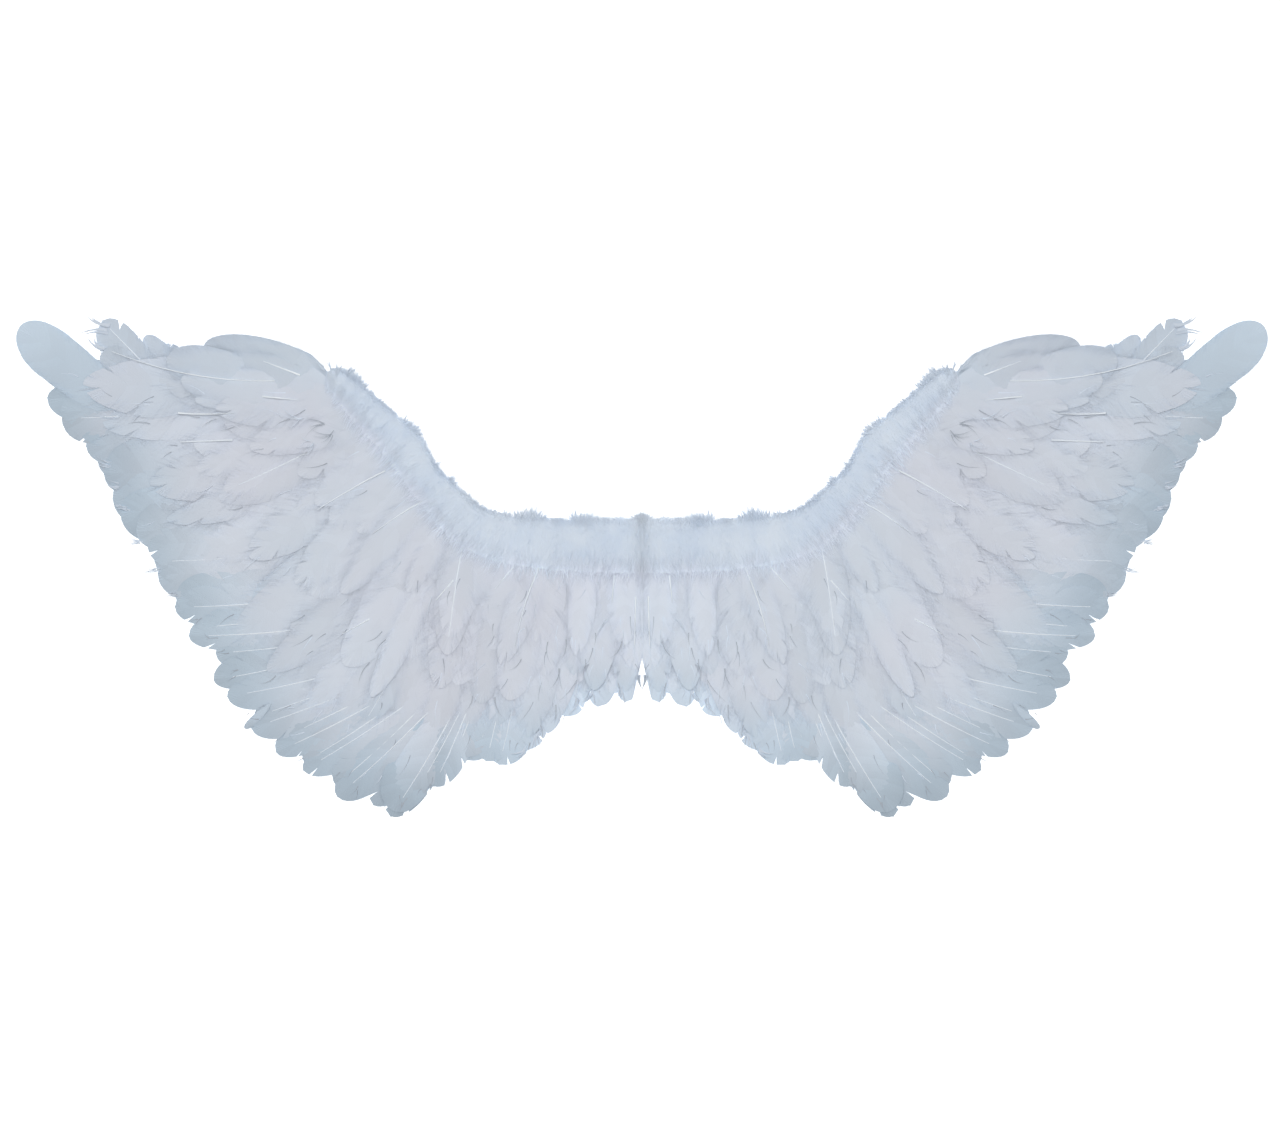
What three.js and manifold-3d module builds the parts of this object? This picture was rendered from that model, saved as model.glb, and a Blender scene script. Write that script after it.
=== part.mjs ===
// Feather costume wings: two mirrored wings of overlapping feather rows on one felt backing, with a fluffy trim along
// the top edge and two elastic shoulder straps under the middle. The wings lie on their back with the feathers up.
// Millimetres and degrees. X runs along the span, Y towards the top edge as worn, Z up from the surface they lie on.
import * as THREE from "three";
import { mergeVertices } from "three/addons/utils/BufferGeometryUtils.js";
import Module from "manifold-3d";

const wasm = await Module();
wasm.setup();

// Driving dimensions
const GAP = 0.3; // clearance between two pieces that lie on each other
const STRAP = { thick: 1.5, wide: 15, bend: 36, leg: 85, startX: 45, middleY: -24 };
const FELT = { thick: 2.5, reach: 0.62, underTrim: 0.55 }; // reach along a rib, and share of the trim's width it backs
const VANE_THICK = 1;
const DROOP = 4.5; // how far the outer tips bend down past the edge of the felt
const WOBBLE = { length: 0.025, width: 0.1, turn: 1.5 }; // how much single feathers differ: shares, and degrees
const MIDDLE_WIDTH = 0.64; // feathers beside the middle are this share of the full width
const FULL_WIDTH_RIB = 3; // and reach the full width at this rib
const TIE = 0.05; // width of the strip that ties a row's quills together, as a share of a rib
const QUILL_IN_TIE = 0.4; // share of that width that a quill stops short of the strip's inner edge
const WRIST_TIE = 4; // half width of the strip across the quills of the wrist
const TRIM_SIDES = 8;
const TRIM_STEPS = 13;
const LOCKS = 16; // tufts of fluff along the trim of one wing

// Turns a header and rows of numbers into objects with named columns
function table(header, rows) {
  const names = header.split(" ");
  return rows.map((row) => Object.fromEntries(names.map((name, i) => [name, row[i]])));
}

// Ribs are the lines that the feathers follow, from the lower edge of the trim to the outline of the wing. They are
// counted from the middle to the wing tip. Angles are headings: 0 points down the body, 90 out along the span.
const RIBS = table("rootX rootY tipX tipY leave arrive", [
  [0, -8, 0, -107, 0, 0],
  [35, -5, 45, -115, 3, 5],
  [70, -2, 102, -158, 10, 12],
  [95, 3, 146, -166, 16, 24],
  [121, 12, 199, -196, 22, 36],
  [143, 29, 261, -170, 30, 56],
  [158, 46, 313, -131, 38, 72],
  [175, 65, 346, -82, 46, 84],
  [193, 88, 378, -24, 56, 90],
  [212, 104, 413, 31, 66, 91],
  [228, 120, 445, 92, 76, 90],
  [240, 133, 475, 132, 86, 92],
  [250, 144, 491, 166, 96, 112],
]);
const LAST_RIB = RIBS.length - 1;

// Rows of feathers from the felt up. Root and tip are shares of a rib, first is the rib of the innermost feather, and
// roll is the angle by which each feather leans over its neighbour.
const ROWS = table("name count first root tip width roll", [
  ["flight_feathers", 26, 0.36, 0.48, 1.0, 34, 6],
  ["second_row", 20, 0.42, 0.31, 0.77, 42, 4.5],
  ["third_row", 17, 0.45, 0.15, 0.56, 44, 4.5],
  ["coverts", 14, 0.45, 0.01, 0.36, 42, 4.5],
]);

// Single feathers that make the top edge from the end of the trim to the wing tip. Those of the wrist lie over the rows,
// and those beside the wing tip belong to the flight feathers.
const WRIST = table("rootX rootY heading length width roll", [
  [248, 150, 104, 104, 40, 3],
  [286, 147, 100, 92, 32, 3],
]);
const TOP_EDGE = table("rootX rootY heading length width roll", [
  [375, 149.5, 172, 28, 22, 4],
  [378, 149.5, 157, 35, 24, 4],
  [384, 150.5, 136, 62, 26, 4],
  [415, 134, 123, 98, 46, 4],
]);

// Centre line and half width of the trim, from the middle to the wrist
const TRIM = table("x y half", [
  [0.7, 16, 25],
  [40, 16, 22],
  [78, 20, 20],
  [113, 28, 17],
  [136, 40, 11],
  [151, 55, 10],
  [168, 74, 10],
  [184, 98, 13],
  [205, 117, 14],
  [223, 133, 13],
  [236, 145, 11],
  [249, 154, 8],
]);
const TRIM_HEIGHT = 1.45; // height of the trim over its half width, and never under TRIM_LEAST
const TRIM_LEAST = 20;

// Outline of a feather: half width as a share of its full half width, at shares of its length
const VANE = table("along half", [
  [0, 0.22],
  [0.28, 0.8],
  [0.66, 1],
  [0.9, 0.74],
  [1, 0.22],
]);

const feltBottom = STRAP.thick + GAP;
const feltTop = feltBottom + FELT.thick;

const material = (color, roughness) => new THREE.MeshStandardMaterial({ color, roughness, metalness: 0 });
const MATERIALS = {
  vane: material("#c9cfdb", 0.75),
  fluff: material("#c7d3e3", 0.9),
  felt: material("#d9dde2", 0.95),
  elastic: material("#e4e6e8", 0.8),
};

const radians = THREE.MathUtils.degToRad;
const mix = THREE.MathUtils.lerp;
const heading = (degrees) => new THREE.Vector2(Math.sin(radians(degrees)), -Math.cos(radians(degrees)));

// A repeatable number from -1 to 1 that differs from feather to feather
const wobble = (index, kind) => Math.sin(index * 12.9898 + kind * 78.233);

// Solids

// A closed solid through rings of points, each ring turning left as seen from the end of the loft
function loft(rings) {
  const sides = rings[0].length;
  const positions = rings.flat().flatMap((p) => [p.x, p.y, p.z]);
  const index = [];
  for (let r = 0; r + 1 < rings.length; r++) {
    for (let s = 0; s < sides; s++) {
      const a = r * sides + s;
      const b = r * sides + ((s + 1) % sides);
      index.push(a, b, b + sides, a, b + sides, a + sides);
    }
  }
  const end = (rings.length - 1) * sides;
  for (let s = 1; s + 1 < sides; s++) {
    index.push(0, s + 1, s, end, end + s, end + s + 1);
  }
  const geometry = new THREE.BufferGeometry();
  geometry.setAttribute("position", new THREE.Float32BufferAttribute(positions, 3));
  return geometry.setIndex(index);
}

function solidOf(geometry) {
  const bare = geometry.clone();
  bare.deleteAttribute("normal");
  bare.deleteAttribute("uv");
  const merged = mergeVertices(bare);
  const vertProperties = merged.attributes.position.array;
  const triVerts = new Uint32Array(merged.index.array);
  return new wasm.Manifold(new wasm.Mesh({ numProp: 3, vertProperties, triVerts }));
}

// Joins overlapping solids into one
function fuse(geometries) {
  const mesh = geometries.map(solidOf).reduce((whole, piece) => whole.add(piece)).getMesh();
  const geometry = new THREE.BufferGeometry();
  geometry.setAttribute("position", new THREE.Float32BufferAttribute(mesh.vertProperties, 3));
  return geometry.setIndex(new THREE.BufferAttribute(mesh.triVerts, 1));
}

// Ribs

const rootLine = new THREE.SplineCurve(RIBS.map((r) => new THREE.Vector2(r.rootX, r.rootY)));
const tipLine = new THREE.SplineCurve(RIBS.map((r) => new THREE.Vector2(r.tipX, r.tipY)));
const angleLine = new THREE.SplineCurve(RIBS.map((r) => new THREE.Vector2(r.leave, r.arrive)));

// The curve that a feather at this place between the ribs follows
function ribCurve(place) {
  const t = place / LAST_RIB;
  const root = rootLine.getPoint(t);
  const tip = tipLine.getPoint(t);
  const angle = angleLine.getPoint(t);
  const third = root.distanceTo(tip) / 3;
  const leaving = heading(angle.x).multiplyScalar(third).add(root);
  const arriving = heading(angle.y).multiplyScalar(-third).add(tip);
  return new THREE.CubicBezierCurve(root, leaving, arriving, tip);
}

// How far the feathers have bent down at this share of a rib
const droopAt = (share) => DROOP * Math.max(0, (share - FELT.reach) / (1 - FELT.reach)) ** 2;

// Feathers

// One feather blade. Its centre line is given by centre(s) and along(s) for s from 0 to 1, and its height by rise(s).
function blade(centre, along, rise, width, roll) {
  const rings = VANE.map((station) => {
    const c = centre(station.along);
    const t = along(station.along);
    const z = rise(station.along);
    const half = (station.half * width) / 2;
    const corner = (side, up) =>
      new THREE.Vector3(
        c.x - t.y * half * side,
        c.y + t.x * half * side,
        z + half * side * Math.sin(radians(roll)) + (up * VANE_THICK) / 2,
      );
    return [corner(1, 1), corner(-1, 1), corner(-1, -1), corner(1, -1)];
  });
  return loft(rings);
}

// The height that a row of blades takes up, from its lowest edge to its highest
const rowHeight = ({ width, roll }) => VANE_THICK + width * (1 + WOBBLE.width) * Math.sin(radians(roll));

// A feather of a row, on the rib at this place, turned a little about its quill
function rowFeather(row, number, middle) {
  const place = mix(row.first, LAST_RIB, number / (row.count - 1));
  const curve = ribCurve(place);
  const start = row.root + TIE * QUILL_IN_TIE;
  const reach = row.tip * (1 + WOBBLE.length * wobble(number, 1)) - start;
  const share = (s) => start + reach * s;
  const quill = curve.getPoint(row.root);
  const turn = radians(WOBBLE.turn * wobble(number, 3) * Math.min(1, place));
  const wide = mix(MIDDLE_WIDTH, 1, THREE.MathUtils.smoothstep(place, 0, FULL_WIDTH_RIB));
  const width = row.width * wide * (1 + WOBBLE.width * wobble(number, 2));
  const nothing = new THREE.Vector2();
  return blade(
    (s) => curve.getPoint(Math.min(1, share(s))).rotateAround(quill, turn),
    (s) => curve.getTangent(Math.min(1, share(s))).rotateAround(nothing, turn),
    (s) => middle - droopAt(share(s)),
    width,
    row.roll,
  );
}

// The strip that ties the quills of a row together and stands on the felt
function rowTie(row, top) {
  const rings = [];
  for (let place = row.first / 2; place <= LAST_RIB; place += (LAST_RIB - row.first / 2) / LAST_RIB - 1e-9) {
    const curve = ribCurve(place);
    const inner = curve.getPoint(row.root);
    const outer = curve.getPoint(row.root + TIE);
    const at = (p, z) => new THREE.Vector3(p.x, p.y, z);
    const bottom = feltTop + GAP;
    rings.push([at(inner, bottom), at(inner, top), at(outer, top), at(outer, bottom)]);
  }
  return loft(rings);
}

// All rows of one wing, each lying on the one before. Returns the height that the next layer may start from.
function featherRows() {
  const rows = [];
  let bottom = feltTop + GAP;
  for (const row of ROWS) {
    const middle = bottom + rowHeight(row) / 2;
    const feathers = Array.from({ length: row.count }, (_, number) => rowFeather(row, number, middle));
    if (row === ROWS[0]) {
      feathers.push(...TOP_EDGE.map((one) => singleFeather(one, middle)));
    }
    rows.push({ name: row.name, geometry: fuse([rowTie(row, middle + VANE_THICK), ...feathers]) });
    bottom += rowHeight(row) + GAP;
  }
  return { rows, top: bottom };
}

// A straight feather of one of the short tables
function singleFeather(one, middle) {
  const root = new THREE.Vector2(one.rootX, one.rootY);
  const way = heading(one.heading);
  return blade(
    (s) => root.clone().addScaledVector(way, one.length * s),
    () => way,
    () => middle,
    one.width,
    one.roll,
  );
}

// Feathers of the wrist, tied across their quills
function wristFeathers(bottom) {
  const middle = bottom + rowHeight(WRIST[0]) / 2;
  const rings = WRIST.map((one) => {
    const at = (side, z) => new THREE.Vector3(one.rootX + side, one.rootY + side * WRIST_TIE, z);
    return [at(1, bottom), at(1, middle + VANE_THICK), at(-1, middle + VANE_THICK), at(-1, bottom)];
  });
  return fuse([loft(rings), ...WRIST.map((one) => singleFeather(one, middle))]);
}

// Trim

const trimLine = new THREE.SplineCurve(TRIM.map((t) => new THREE.Vector2(t.x, t.y)));
const trimHalf = new THREE.SplineCurve(TRIM.map((t, i) => new THREE.Vector2(i, t.half)));
const trimHeight = (half) => Math.max(TRIM_LEAST, TRIM_HEIGHT * half);

// A point of the trim's round section: 0 degrees is the outer edge and 90 the top
function trimPoint(t, degrees, size) {
  const c = trimLine.getPoint(t);
  const way = trimLine.getTangent(t);
  const half = trimHalf.getPoint(t).y;
  const out = half * size * Math.cos(radians(degrees));
  const high = trimHeight(half) / 2;
  const z = feltTop + GAP + high + high * size * Math.sin(radians(degrees));
  return new THREE.Vector3(c.x - way.y * out, c.y + way.x * out, z);
}

// The cord that carries the fluff
function trimCore() {
  const rings = [];
  for (let step = 0; step <= TRIM_STEPS; step++) {
    const t = step / TRIM_STEPS;
    const turn = 360 / TRIM_SIDES;
    rings.push(Array.from({ length: TRIM_SIDES }, (_, side) => trimPoint(t, side * turn, 0.9)));
  }
  return loft(rings);
}

// A tuft of fluff: a spindle that points out of the cord
function trimLock(number) {
  const t = (number + 0.7) / LOCKS;
  const degrees = 38 + 36 * wobble(number, 4);
  const from = trimPoint(t, degrees, 0.1);
  const to = trimPoint(Math.min(1, t + 0.02 * wobble(number, 5)), degrees, 1.12 + 0.08 * wobble(number, 6));
  const length = from.distanceTo(to);
  const tuft = new THREE.SphereGeometry(0.5, 6, 3);
  tuft.scale(length * 0.95, length, length * 0.95);
  const way = to.clone().sub(from).normalize();
  tuft.applyQuaternion(new THREE.Quaternion().setFromUnitVectors(new THREE.Vector3(0, 1, 0), way));
  const centre = from.add(to).multiplyScalar(0.5);
  return tuft.translate(centre.x, centre.y, centre.z);
}

function trim() {
  return fuse([trimCore(), ...Array.from({ length: LOCKS }, (_, number) => trimLock(number))]);
}

// Felt and straps

// Both edges of the felt at a rib of the right wing: under the trim, and under the feathers
function feltEdges(place) {
  const curve = ribCurve(place);
  const root = curve.getPoint(0);
  const out = trimLine.getPoint(place / LAST_RIB).sub(root);
  return [root.clone().addScaledVector(out, 2 * FELT.underTrim), curve.getPoint(FELT.reach)];
}

function backing() {
  const rings = [];
  for (let place = -LAST_RIB; place <= LAST_RIB; place++) {
    const [upper, lower] = feltEdges(Math.abs(place));
    const at = (p, z) => new THREE.Vector3(Math.sign(place) * p.x, p.y, z);
    rings.push([at(upper, feltTop), at(lower, feltTop), at(lower, feltBottom), at(upper, feltBottom)]);
  }
  return loft(rings);
}

// A shoulder strap laid flat: two sewn legs and a bend
function strap() {
  const outer = STRAP.bend + STRAP.wide;
  const shape = new THREE.Shape();
  shape.moveTo(0, -outer);
  shape.lineTo(STRAP.leg, -outer);
  shape.absarc(STRAP.leg, 0, outer, -Math.PI / 2, Math.PI / 2, false);
  shape.lineTo(0, outer);
  shape.lineTo(0, STRAP.bend);
  shape.lineTo(STRAP.leg, STRAP.bend);
  shape.absarc(STRAP.leg, 0, STRAP.bend, Math.PI / 2, -Math.PI / 2, true);
  shape.lineTo(0, -STRAP.bend);
  return new THREE.ExtrudeGeometry(shape, { depth: STRAP.thick, bevelEnabled: false, curveSegments: 8 });
}

// Assembly

function piece(name, geometry, look) {
  const mesh = new THREE.Mesh(geometry, look);
  mesh.name = name;
  return mesh;
}

const { rows, top } = featherRows();
const wristShape = wristFeathers(top);
const trimShape = trim();
const strapShape = strap();

// One wing as it lies on the right; the left one is its mirror image
function wing(side) {
  const group = new THREE.Group();
  for (const row of rows) {
    group.add(piece(`${side}_${row.name}`, row.geometry, MATERIALS.vane));
  }
  group.add(piece(`${side}_wrist_feathers`, wristShape, MATERIALS.vane));
  group.add(piece(`${side}_trim`, trimShape, MATERIALS.fluff));
  const loop = piece(`${side}_shoulder_strap`, strapShape, MATERIALS.elastic);
  loop.position.set(STRAP.startX, STRAP.middleY, 0);
  group.add(loop);
  group.scale.x = side === "left" ? -1 : 1;
  return group;
}

const wings = new THREE.Group();
wings.add(piece("backing", backing(), MATERIALS.felt), wing("left"), wing("right"));

export default wings;
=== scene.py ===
"""Feather costume wings: feathers, marabou trim, felt and straps, dressed around the packed part."""

import math
from types import SimpleNamespace

import bpy
import numpy as np
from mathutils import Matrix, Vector


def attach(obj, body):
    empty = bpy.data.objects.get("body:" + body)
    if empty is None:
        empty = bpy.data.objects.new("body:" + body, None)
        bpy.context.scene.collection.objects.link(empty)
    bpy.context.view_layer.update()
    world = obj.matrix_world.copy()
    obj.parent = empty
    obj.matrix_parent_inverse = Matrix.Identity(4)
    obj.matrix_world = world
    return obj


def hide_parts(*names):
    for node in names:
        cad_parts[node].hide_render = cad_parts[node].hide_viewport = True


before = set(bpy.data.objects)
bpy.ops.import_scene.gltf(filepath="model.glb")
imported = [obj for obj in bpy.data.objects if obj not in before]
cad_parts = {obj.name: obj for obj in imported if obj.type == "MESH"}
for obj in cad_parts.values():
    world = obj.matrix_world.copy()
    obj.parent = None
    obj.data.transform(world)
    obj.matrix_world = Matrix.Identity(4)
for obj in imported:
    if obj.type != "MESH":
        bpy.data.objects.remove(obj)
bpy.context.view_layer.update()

MM = 0.001
SEED = 41


def table(header, *rows):
    """Rows of numbers with named columns."""
    names = header.split()
    return [SimpleNamespace(**dict(zip(names, row))) for row in rows]


def draws(number):
    """A source of random numbers that is the same in every run."""
    return np.random.default_rng(SEED + number)


# Sizes that repeat the part's own, in millimetres, degrees and shares

DROOP = 4.5
FELT_REACH = 0.62
WOBBLE_LENGTH = 0.025
WOBBLE_WIDTH = 0.1
WOBBLE_TURN = 1.5
MIDDLE_WIDTH = 0.64
FULL_WIDTH_RIB = 3
QUILL_START = 0.02
FLIGHT_BOW = 9

# The lines that the feathers follow, from the trim to the outline of the right wing, counted from
# the middle out. Angles are headings: 0 points down the body and 90 out along the span.
RIBS = table(
    "root_x root_y tip_x tip_y leave arrive",
    (0, -8, 0, -107, 0, 0),
    (35, -5, 45, -115, 3, 5),
    (70, -2, 102, -158, 10, 12),
    (95, 3, 146, -166, 16, 24),
    (121, 12, 199, -196, 22, 36),
    (143, 29, 261, -170, 30, 56),
    (158, 46, 313, -131, 38, 72),
    (175, 65, 346, -82, 46, 84),
    (193, 88, 378, -24, 56, 90),
    (212, 104, 413, 31, 66, 91),
    (228, 120, 445, 92, 76, 90),
    (240, 133, 475, 132, 86, 92),
    (250, 144, 491, 166, 96, 112),
)
LAST_RIB = len(RIBS) - 1
RIB_ROOTS = [(r.root_x, r.root_y) for r in RIBS]
RIB_TIPS = [(r.tip_x, r.tip_y) for r in RIBS]
RIB_ANGLES = [(r.leave, r.arrive) for r in RIBS]

# Rows of feathers from the felt up. Root and tip are shares of a rib, middle is the height of the
# row's quills.
ROWS = table(
    "name count first root tip width roll middle",
    ("flight_feathers", 26, 0.36, 0.48, 1.0, 34, 6, 7.05),
    ("second_row", 20, 0.42, 0.31, 0.77, 42, 4.5, 11.0),
    ("third_row", 17, 0.45, 0.15, 0.56, 44, 4.5, 15.0),
    ("coverts", 14, 0.45, 0.01, 0.36, 42, 4.5, 19.0),
)
# What else differs between the rows, in the same order: kind of feather, feathers to each step of
# the row, part of the row's roll that they keep, width, extra length in the middle, how far the root
# goes on under what covers it, scatter of the tips, turn and roll in degrees, part of the feathers
# whose quill shows, and reach of the in-between ones.
LOOKS = table(
    "kind each tilt slim long under scatter turn roll quills low high",
    ("flight", 2, 0.5, 1.0, 0.0, 0.0, 0.008, 1.6, 1.5, 1.0, 0.84, 0.95),
    ("soft", 3, 0.2, 0.72, 0.12, 0.0, 0.08, 4.5, 1.4, 0.02, 0.75, 1.05),
    ("soft", 3, 0.2, 0.68, 0.2, 0.0, 0.1, 5.0, 1.4, 0.02, 0.7, 1.15),
    ("soft", 3, 0.2, 0.68, 0.26, 12.0, 0.1, 5.0, 1.4, 0.02, 0.7, 1.15),
)
# How the flight feathers change along the wing: reach on the ribs, width, part of them whose quill
# shows, how far the in-between ones fill the edge, and how dark their tips are
FLIGHTS = table(
    "place reach wide quills fill dark",
    (0, 1.0, 1.0, 0.1, 0.0, 1.0),
    (1.1, 1.02, 1.0, 0.2, 0.0, 1.0),
    (1.6, 0.89, 1.0, 0.5, 0.0, 1.0),
    (1.9, 0.96, 1.1, 0.9, 0.0, 1.0),
    (2.1, 1.03, 1.1, 0.9, 0.0, 1.0),
    (2.8, 0.97, 1.0, 0.4, 0.0, 1.0),
    (3.2, 0.92, 1.0, 0.4, 0.0, 1.1),
    (3.7, 0.94, 1.0, 0.7, 0.0, 1.5),
    (4.0, 1.01, 1.05, 1.0, 0.0, 1.7),
    (4.6, 1.02, 1.0, 1.0, 0.0, 1.4),
    (5.4, 0.985, 1.0, 1.0, 0.0, 1.0),
    (6.3, 0.98, 1.0, 1.0, 0.0, 1.0),
    (6.8, 0.98, 1.0, 1.0, 0.0, 1.0),
    (7.2, 1.03, 1.0, 1.0, 0.0, 1.0),
    (7.7, 1.0, 1.0, 1.0, 0.0, 1.0),
    (8.05, 1.03, 1.1, 0.6, 0.4, 1.0),
    (8.8, 0.98, 1.2, 0.3, 0.9, 1.0),
    (9.4, 1.03, 1.3, 0.1, 0.9, 1.0),
    (9.8, 0.99, 1.3, 0.1, 0.9, 1.0),
    (10.2, 1.0, 1.2, 0.1, 0.6, 1.0),
    (11.0, 1.02, 1.0, 0.7, 0.0, 1.0),
    (11.5, 0.89, 1.0, 0.2, 0.0, 1.0),
    (12.0, 0.9, 1.0, 0.2, 0.0, 1.0),
)

# Single feathers: those of the wrist, and those of the outline that no rib carries
SINGLE = "root_x root_y heading length width roll kind cool quill fall"
WRIST = table(
    SINGLE,
    (248, 150, 104, 104, 37, 8, "arch", 0.4, False, 4.5),
    (254, 143, 101, 104, 36, 8, "arch", 0.35, False, 5.0),
    (252, 150, 112, 62, 26, 6, "arch", 0.4, False, 3.0),
    (306, 152, 99, 74, 34, 6, "arch", 0.35, False, 5.5),
    (272, 136, 97, 96, 34, 6, "arch", 0.2, False, 5.5),
)
WRIST_MIDDLE = 21.5
OUTLINE = table(
    SINGLE,
    (375, 149.5, 172, 28, 24, 4, "wispy", 0.5, False, 0),
    (378, 149.5, 152, 39, 26, 4, "wispy", 0.5, False, 0),
    (388, 150.5, 136, 62, 32, 4, "ragged", 0.55, True, 0),
    (416, 125.5, 129, 104, 41, 4, "paddle", 0.85, False, 0),
    (296, -110, 47, 30, 7, 0, "flight", 0.8, False, 4.0),
    (396, 152, 112, 40, 22, 3, "ragged", 0.55, False, 0),
    (159.5, -116, 26, 90, 40, 4, "lobe", 1.0, False, 3.0),
)

# Bare quills that show on the inner feathers, from root to tip, and how far they bow to one side
QUILLS = table(
    "root_x root_y tip_x tip_y bow",
    (292, 146.5, 422, 170, -7),
    (302, 134, 273, 131, 0),
    (272, 151, 301, 162, 0),
    (369, 121, 324, 121, 1),
    (326, 99.5, 368, 98, 0),
    (204, 75, 258, 44, 1),
    (174, 51, 214, 25, 1),
    (82, -2, 101, -64, 2),
    (101, 0, 117, -19, 0),
    (22, -8, 24, -30, 0),
    (5, -25, 6, -64, 0),
    (217, -43, 239, -55, 0),
    (150, -12, 164, -28, 0),
)

# Loose barbs that stand out of the feathers, in bundles
WISP = "x y z heading length bend count spread radius shade"
FLIGHT_WISPS = table(
    WISP,
    (425, 192, 8, 104, 22, 35, 4, 8, 1.7, 0.0),
    (427, 186, 8, 96, 24, -22, 4, 9, 1.7, 0.0),
    (430, 172, 8, 118, 19, 35, 4, 10, 1.6, 0.0),
    (426, 80, 5, 104, 12, 10, 6, 22, 0.6, 0.0),
    (419, 62, 5, 100, 12, 10, 6, 22, 0.6, 0.0),
    (411, 44, 5, 98, 12, 10, 6, 22, 0.6, 0.0),
    (401, 18, 5, 96, 12, -10, 6, 22, 0.6, 0.0),
    (388, -4, 5, 94, 12, 10, 6, 22, 0.6, 0.0),
    (372, -24, 5, 92, 12, -10, 6, 22, 0.6, -0.1),
    (2, -88, 6, -4, 15, -20, 3, 8, 0.9, -0.2),
    (17, -99, 6, 0, 13, 20, 4, 25, 0.8, 0.0),
    (40, -101, 6, 5, 14, 20, 5, 25, 0.8, 0.0),
    (52, -106, 6, 10, 14, 20, 5, 25, 0.8, 0.0),
    (66, -112, 6, 5, 16, 20, 6, 25, 0.8, 0.0),
    (82, -132, 6, 20, 18, -30, 6, 25, 0.8, 0.0),
    (93, -148, 6, 40, 13, 30, 4, 25, 0.8, 0.0),
)
COVERT_WISPS = table(
    WISP,
    (246, 104, 22, 64, 18, 22, 5, 60, 0.36, -0.32),
    (252, 112, 22, 92, 20, -22, 5, 55, 0.36, -0.32),
    (262, 98, 22, 60, 16, 30, 5, 60, 0.4, 0.15),
    (270, 116, 22, 80, 22, 25, 5, 40, 0.4, 0.15),
    (236, 143, 20, 168, 13, 12, 7, 20, 0.5, 0.0),
    (226, 137, 20, 160, 12, 12, 6, 20, 0.5, 0.0),
    (241, 150, 27, 172, 18, 14, 7, 30, 0.4, 0.0),
    (247, 153, 26, 160, 17, -14, 7, 30, 0.4, 0.0),
    (252, 154, 24, 150, 16, 14, 6, 30, 0.4, 0.0),
)
# Barbs laid on the face of the wing as painted shadow and painted highlight: the grey ones for the
# shade under lifted barb tips and in gaps between feathers, the white ones as thin highlights. How
# many, between which ribs and shares of a rib, length, bend, radius and shade
BARB_SHADOWS_AND_HIGHLIGHTS = table(
    "count first last near far shortest longest bend radius shade",
    (24, 0.2, 4.0, 0.08, 0.95, 8, 20, 30, 0.4, -0.3),
    (34, 4.0, 11.8, 0.08, 0.9, 8, 22, 26, 0.42, -0.34),
    (24, 3.5, 8.2, 0.9, 0.97, 5, 11, 25, 0.42, -0.36),
    (20, 0.2, 4.0, 0.08, 0.95, 8, 18, 20, 0.4, 0.2),
    (30, 4.0, 11.8, 0.08, 0.9, 8, 22, 20, 0.4, 0.2),
    (9, 0.05, 2.2, 0.3, 0.95, 12, 26, 14, 0.36, -0.22),
    (14, 0.05, 2.2, 0.2, 0.9, 12, 28, 12, 0.36, 0.2),
)

# Centre line of the trim, and how far it reaches from there away from the feathers and over them
TRIM = table(
    "x y outer inner",
    (0.7, 16, 24.5, 27),
    (40, 16, 22, 26),
    (78, 20, 19, 27),
    (113, 28, 14, 29),
    (136, 40, 10, 28),
    (151, 55, 8.5, 26),
    (168, 74, 6.5, 25),
    (184, 98, 9.5, 25),
    (205, 117, 8, 23),
    (223, 133, 8, 19),
    (236, 145, 7.5, 15),
    (249, 154, 5, 11),
)
TRIM_LINE = [(t.x, t.y) for t in TRIM]
TRIM_WIDTHS = [(t.outer, t.inner) for t in TRIM]
TRIM_HEIGHT = 1.25
TRIM_LEAST = 20
TRIM_BOTTOM = 4.6


def wobble(index, kind):
    """A repeatable number from -1 to 1, the same as the part's."""
    return math.sin(index * 12.9898 + kind * 78.233)


def heading(degrees):
    a = np.radians(degrees)
    return np.stack([np.sin(a), -np.cos(a)], axis=-1)


def smoothstep(x, low, high):
    t = np.clip((np.asarray(x, float) - low) / (high - low), 0, 1)
    return t * t * (3 - 2 * t)


def through(points, place):
    """A smooth curve through points, at a place counted in points."""
    points = np.asarray(points, float)
    place = np.asarray(place, float)
    last = len(points) - 1
    i = np.clip(np.floor(place).astype(int), 0, last)
    t = (place - i)[..., None]
    before = points[np.maximum(i - 1, 0)]
    a = points[i]
    b = points[np.minimum(i + 1, last)]
    after = points[np.minimum(i + 2, last)]
    u = (b - before) / 2
    v = (after - a) / 2
    return (2 * a - 2 * b + u + v) * t**3 + (-3 * a + 3 * b - 2 * u - v) * t**2 + u * t + a


def rib_curve(place):
    """Four control points of the curve that a feather at this place between the ribs follows."""
    root = through(RIB_ROOTS, place)
    tip = through(RIB_TIPS, place)
    leave, arrive = through(RIB_ANGLES, place)
    third = np.linalg.norm(tip - root) / 3
    return np.array([root, root + heading(leave) * third, tip - heading(arrive) * third, tip])


def flight_curve(place, share):
    """The same for a feather of the outline: nearly straight, over the last share of its rib."""
    root = through(RIB_ROOTS, place)
    tip = through(RIB_TIPS, place)
    arrive = through(RIB_ANGLES, place)[1]
    length = share * np.linalg.norm(tip - root)
    start = tip - heading(arrive - FLIGHT_BOW / 2) * length
    leaving = start + heading(arrive - FLIGHT_BOW) * length / 3
    return np.array([start, leaving, tip - heading(arrive) * length / 3, tip])


def straight_curve(one):
    """The same for a straight feather."""
    root = np.array([one.root_x, one.root_y], float)
    tip = root + heading(one.heading) * one.length
    return np.array([root, root + (tip - root) / 3, tip - (tip - root) / 3, tip])


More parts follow.
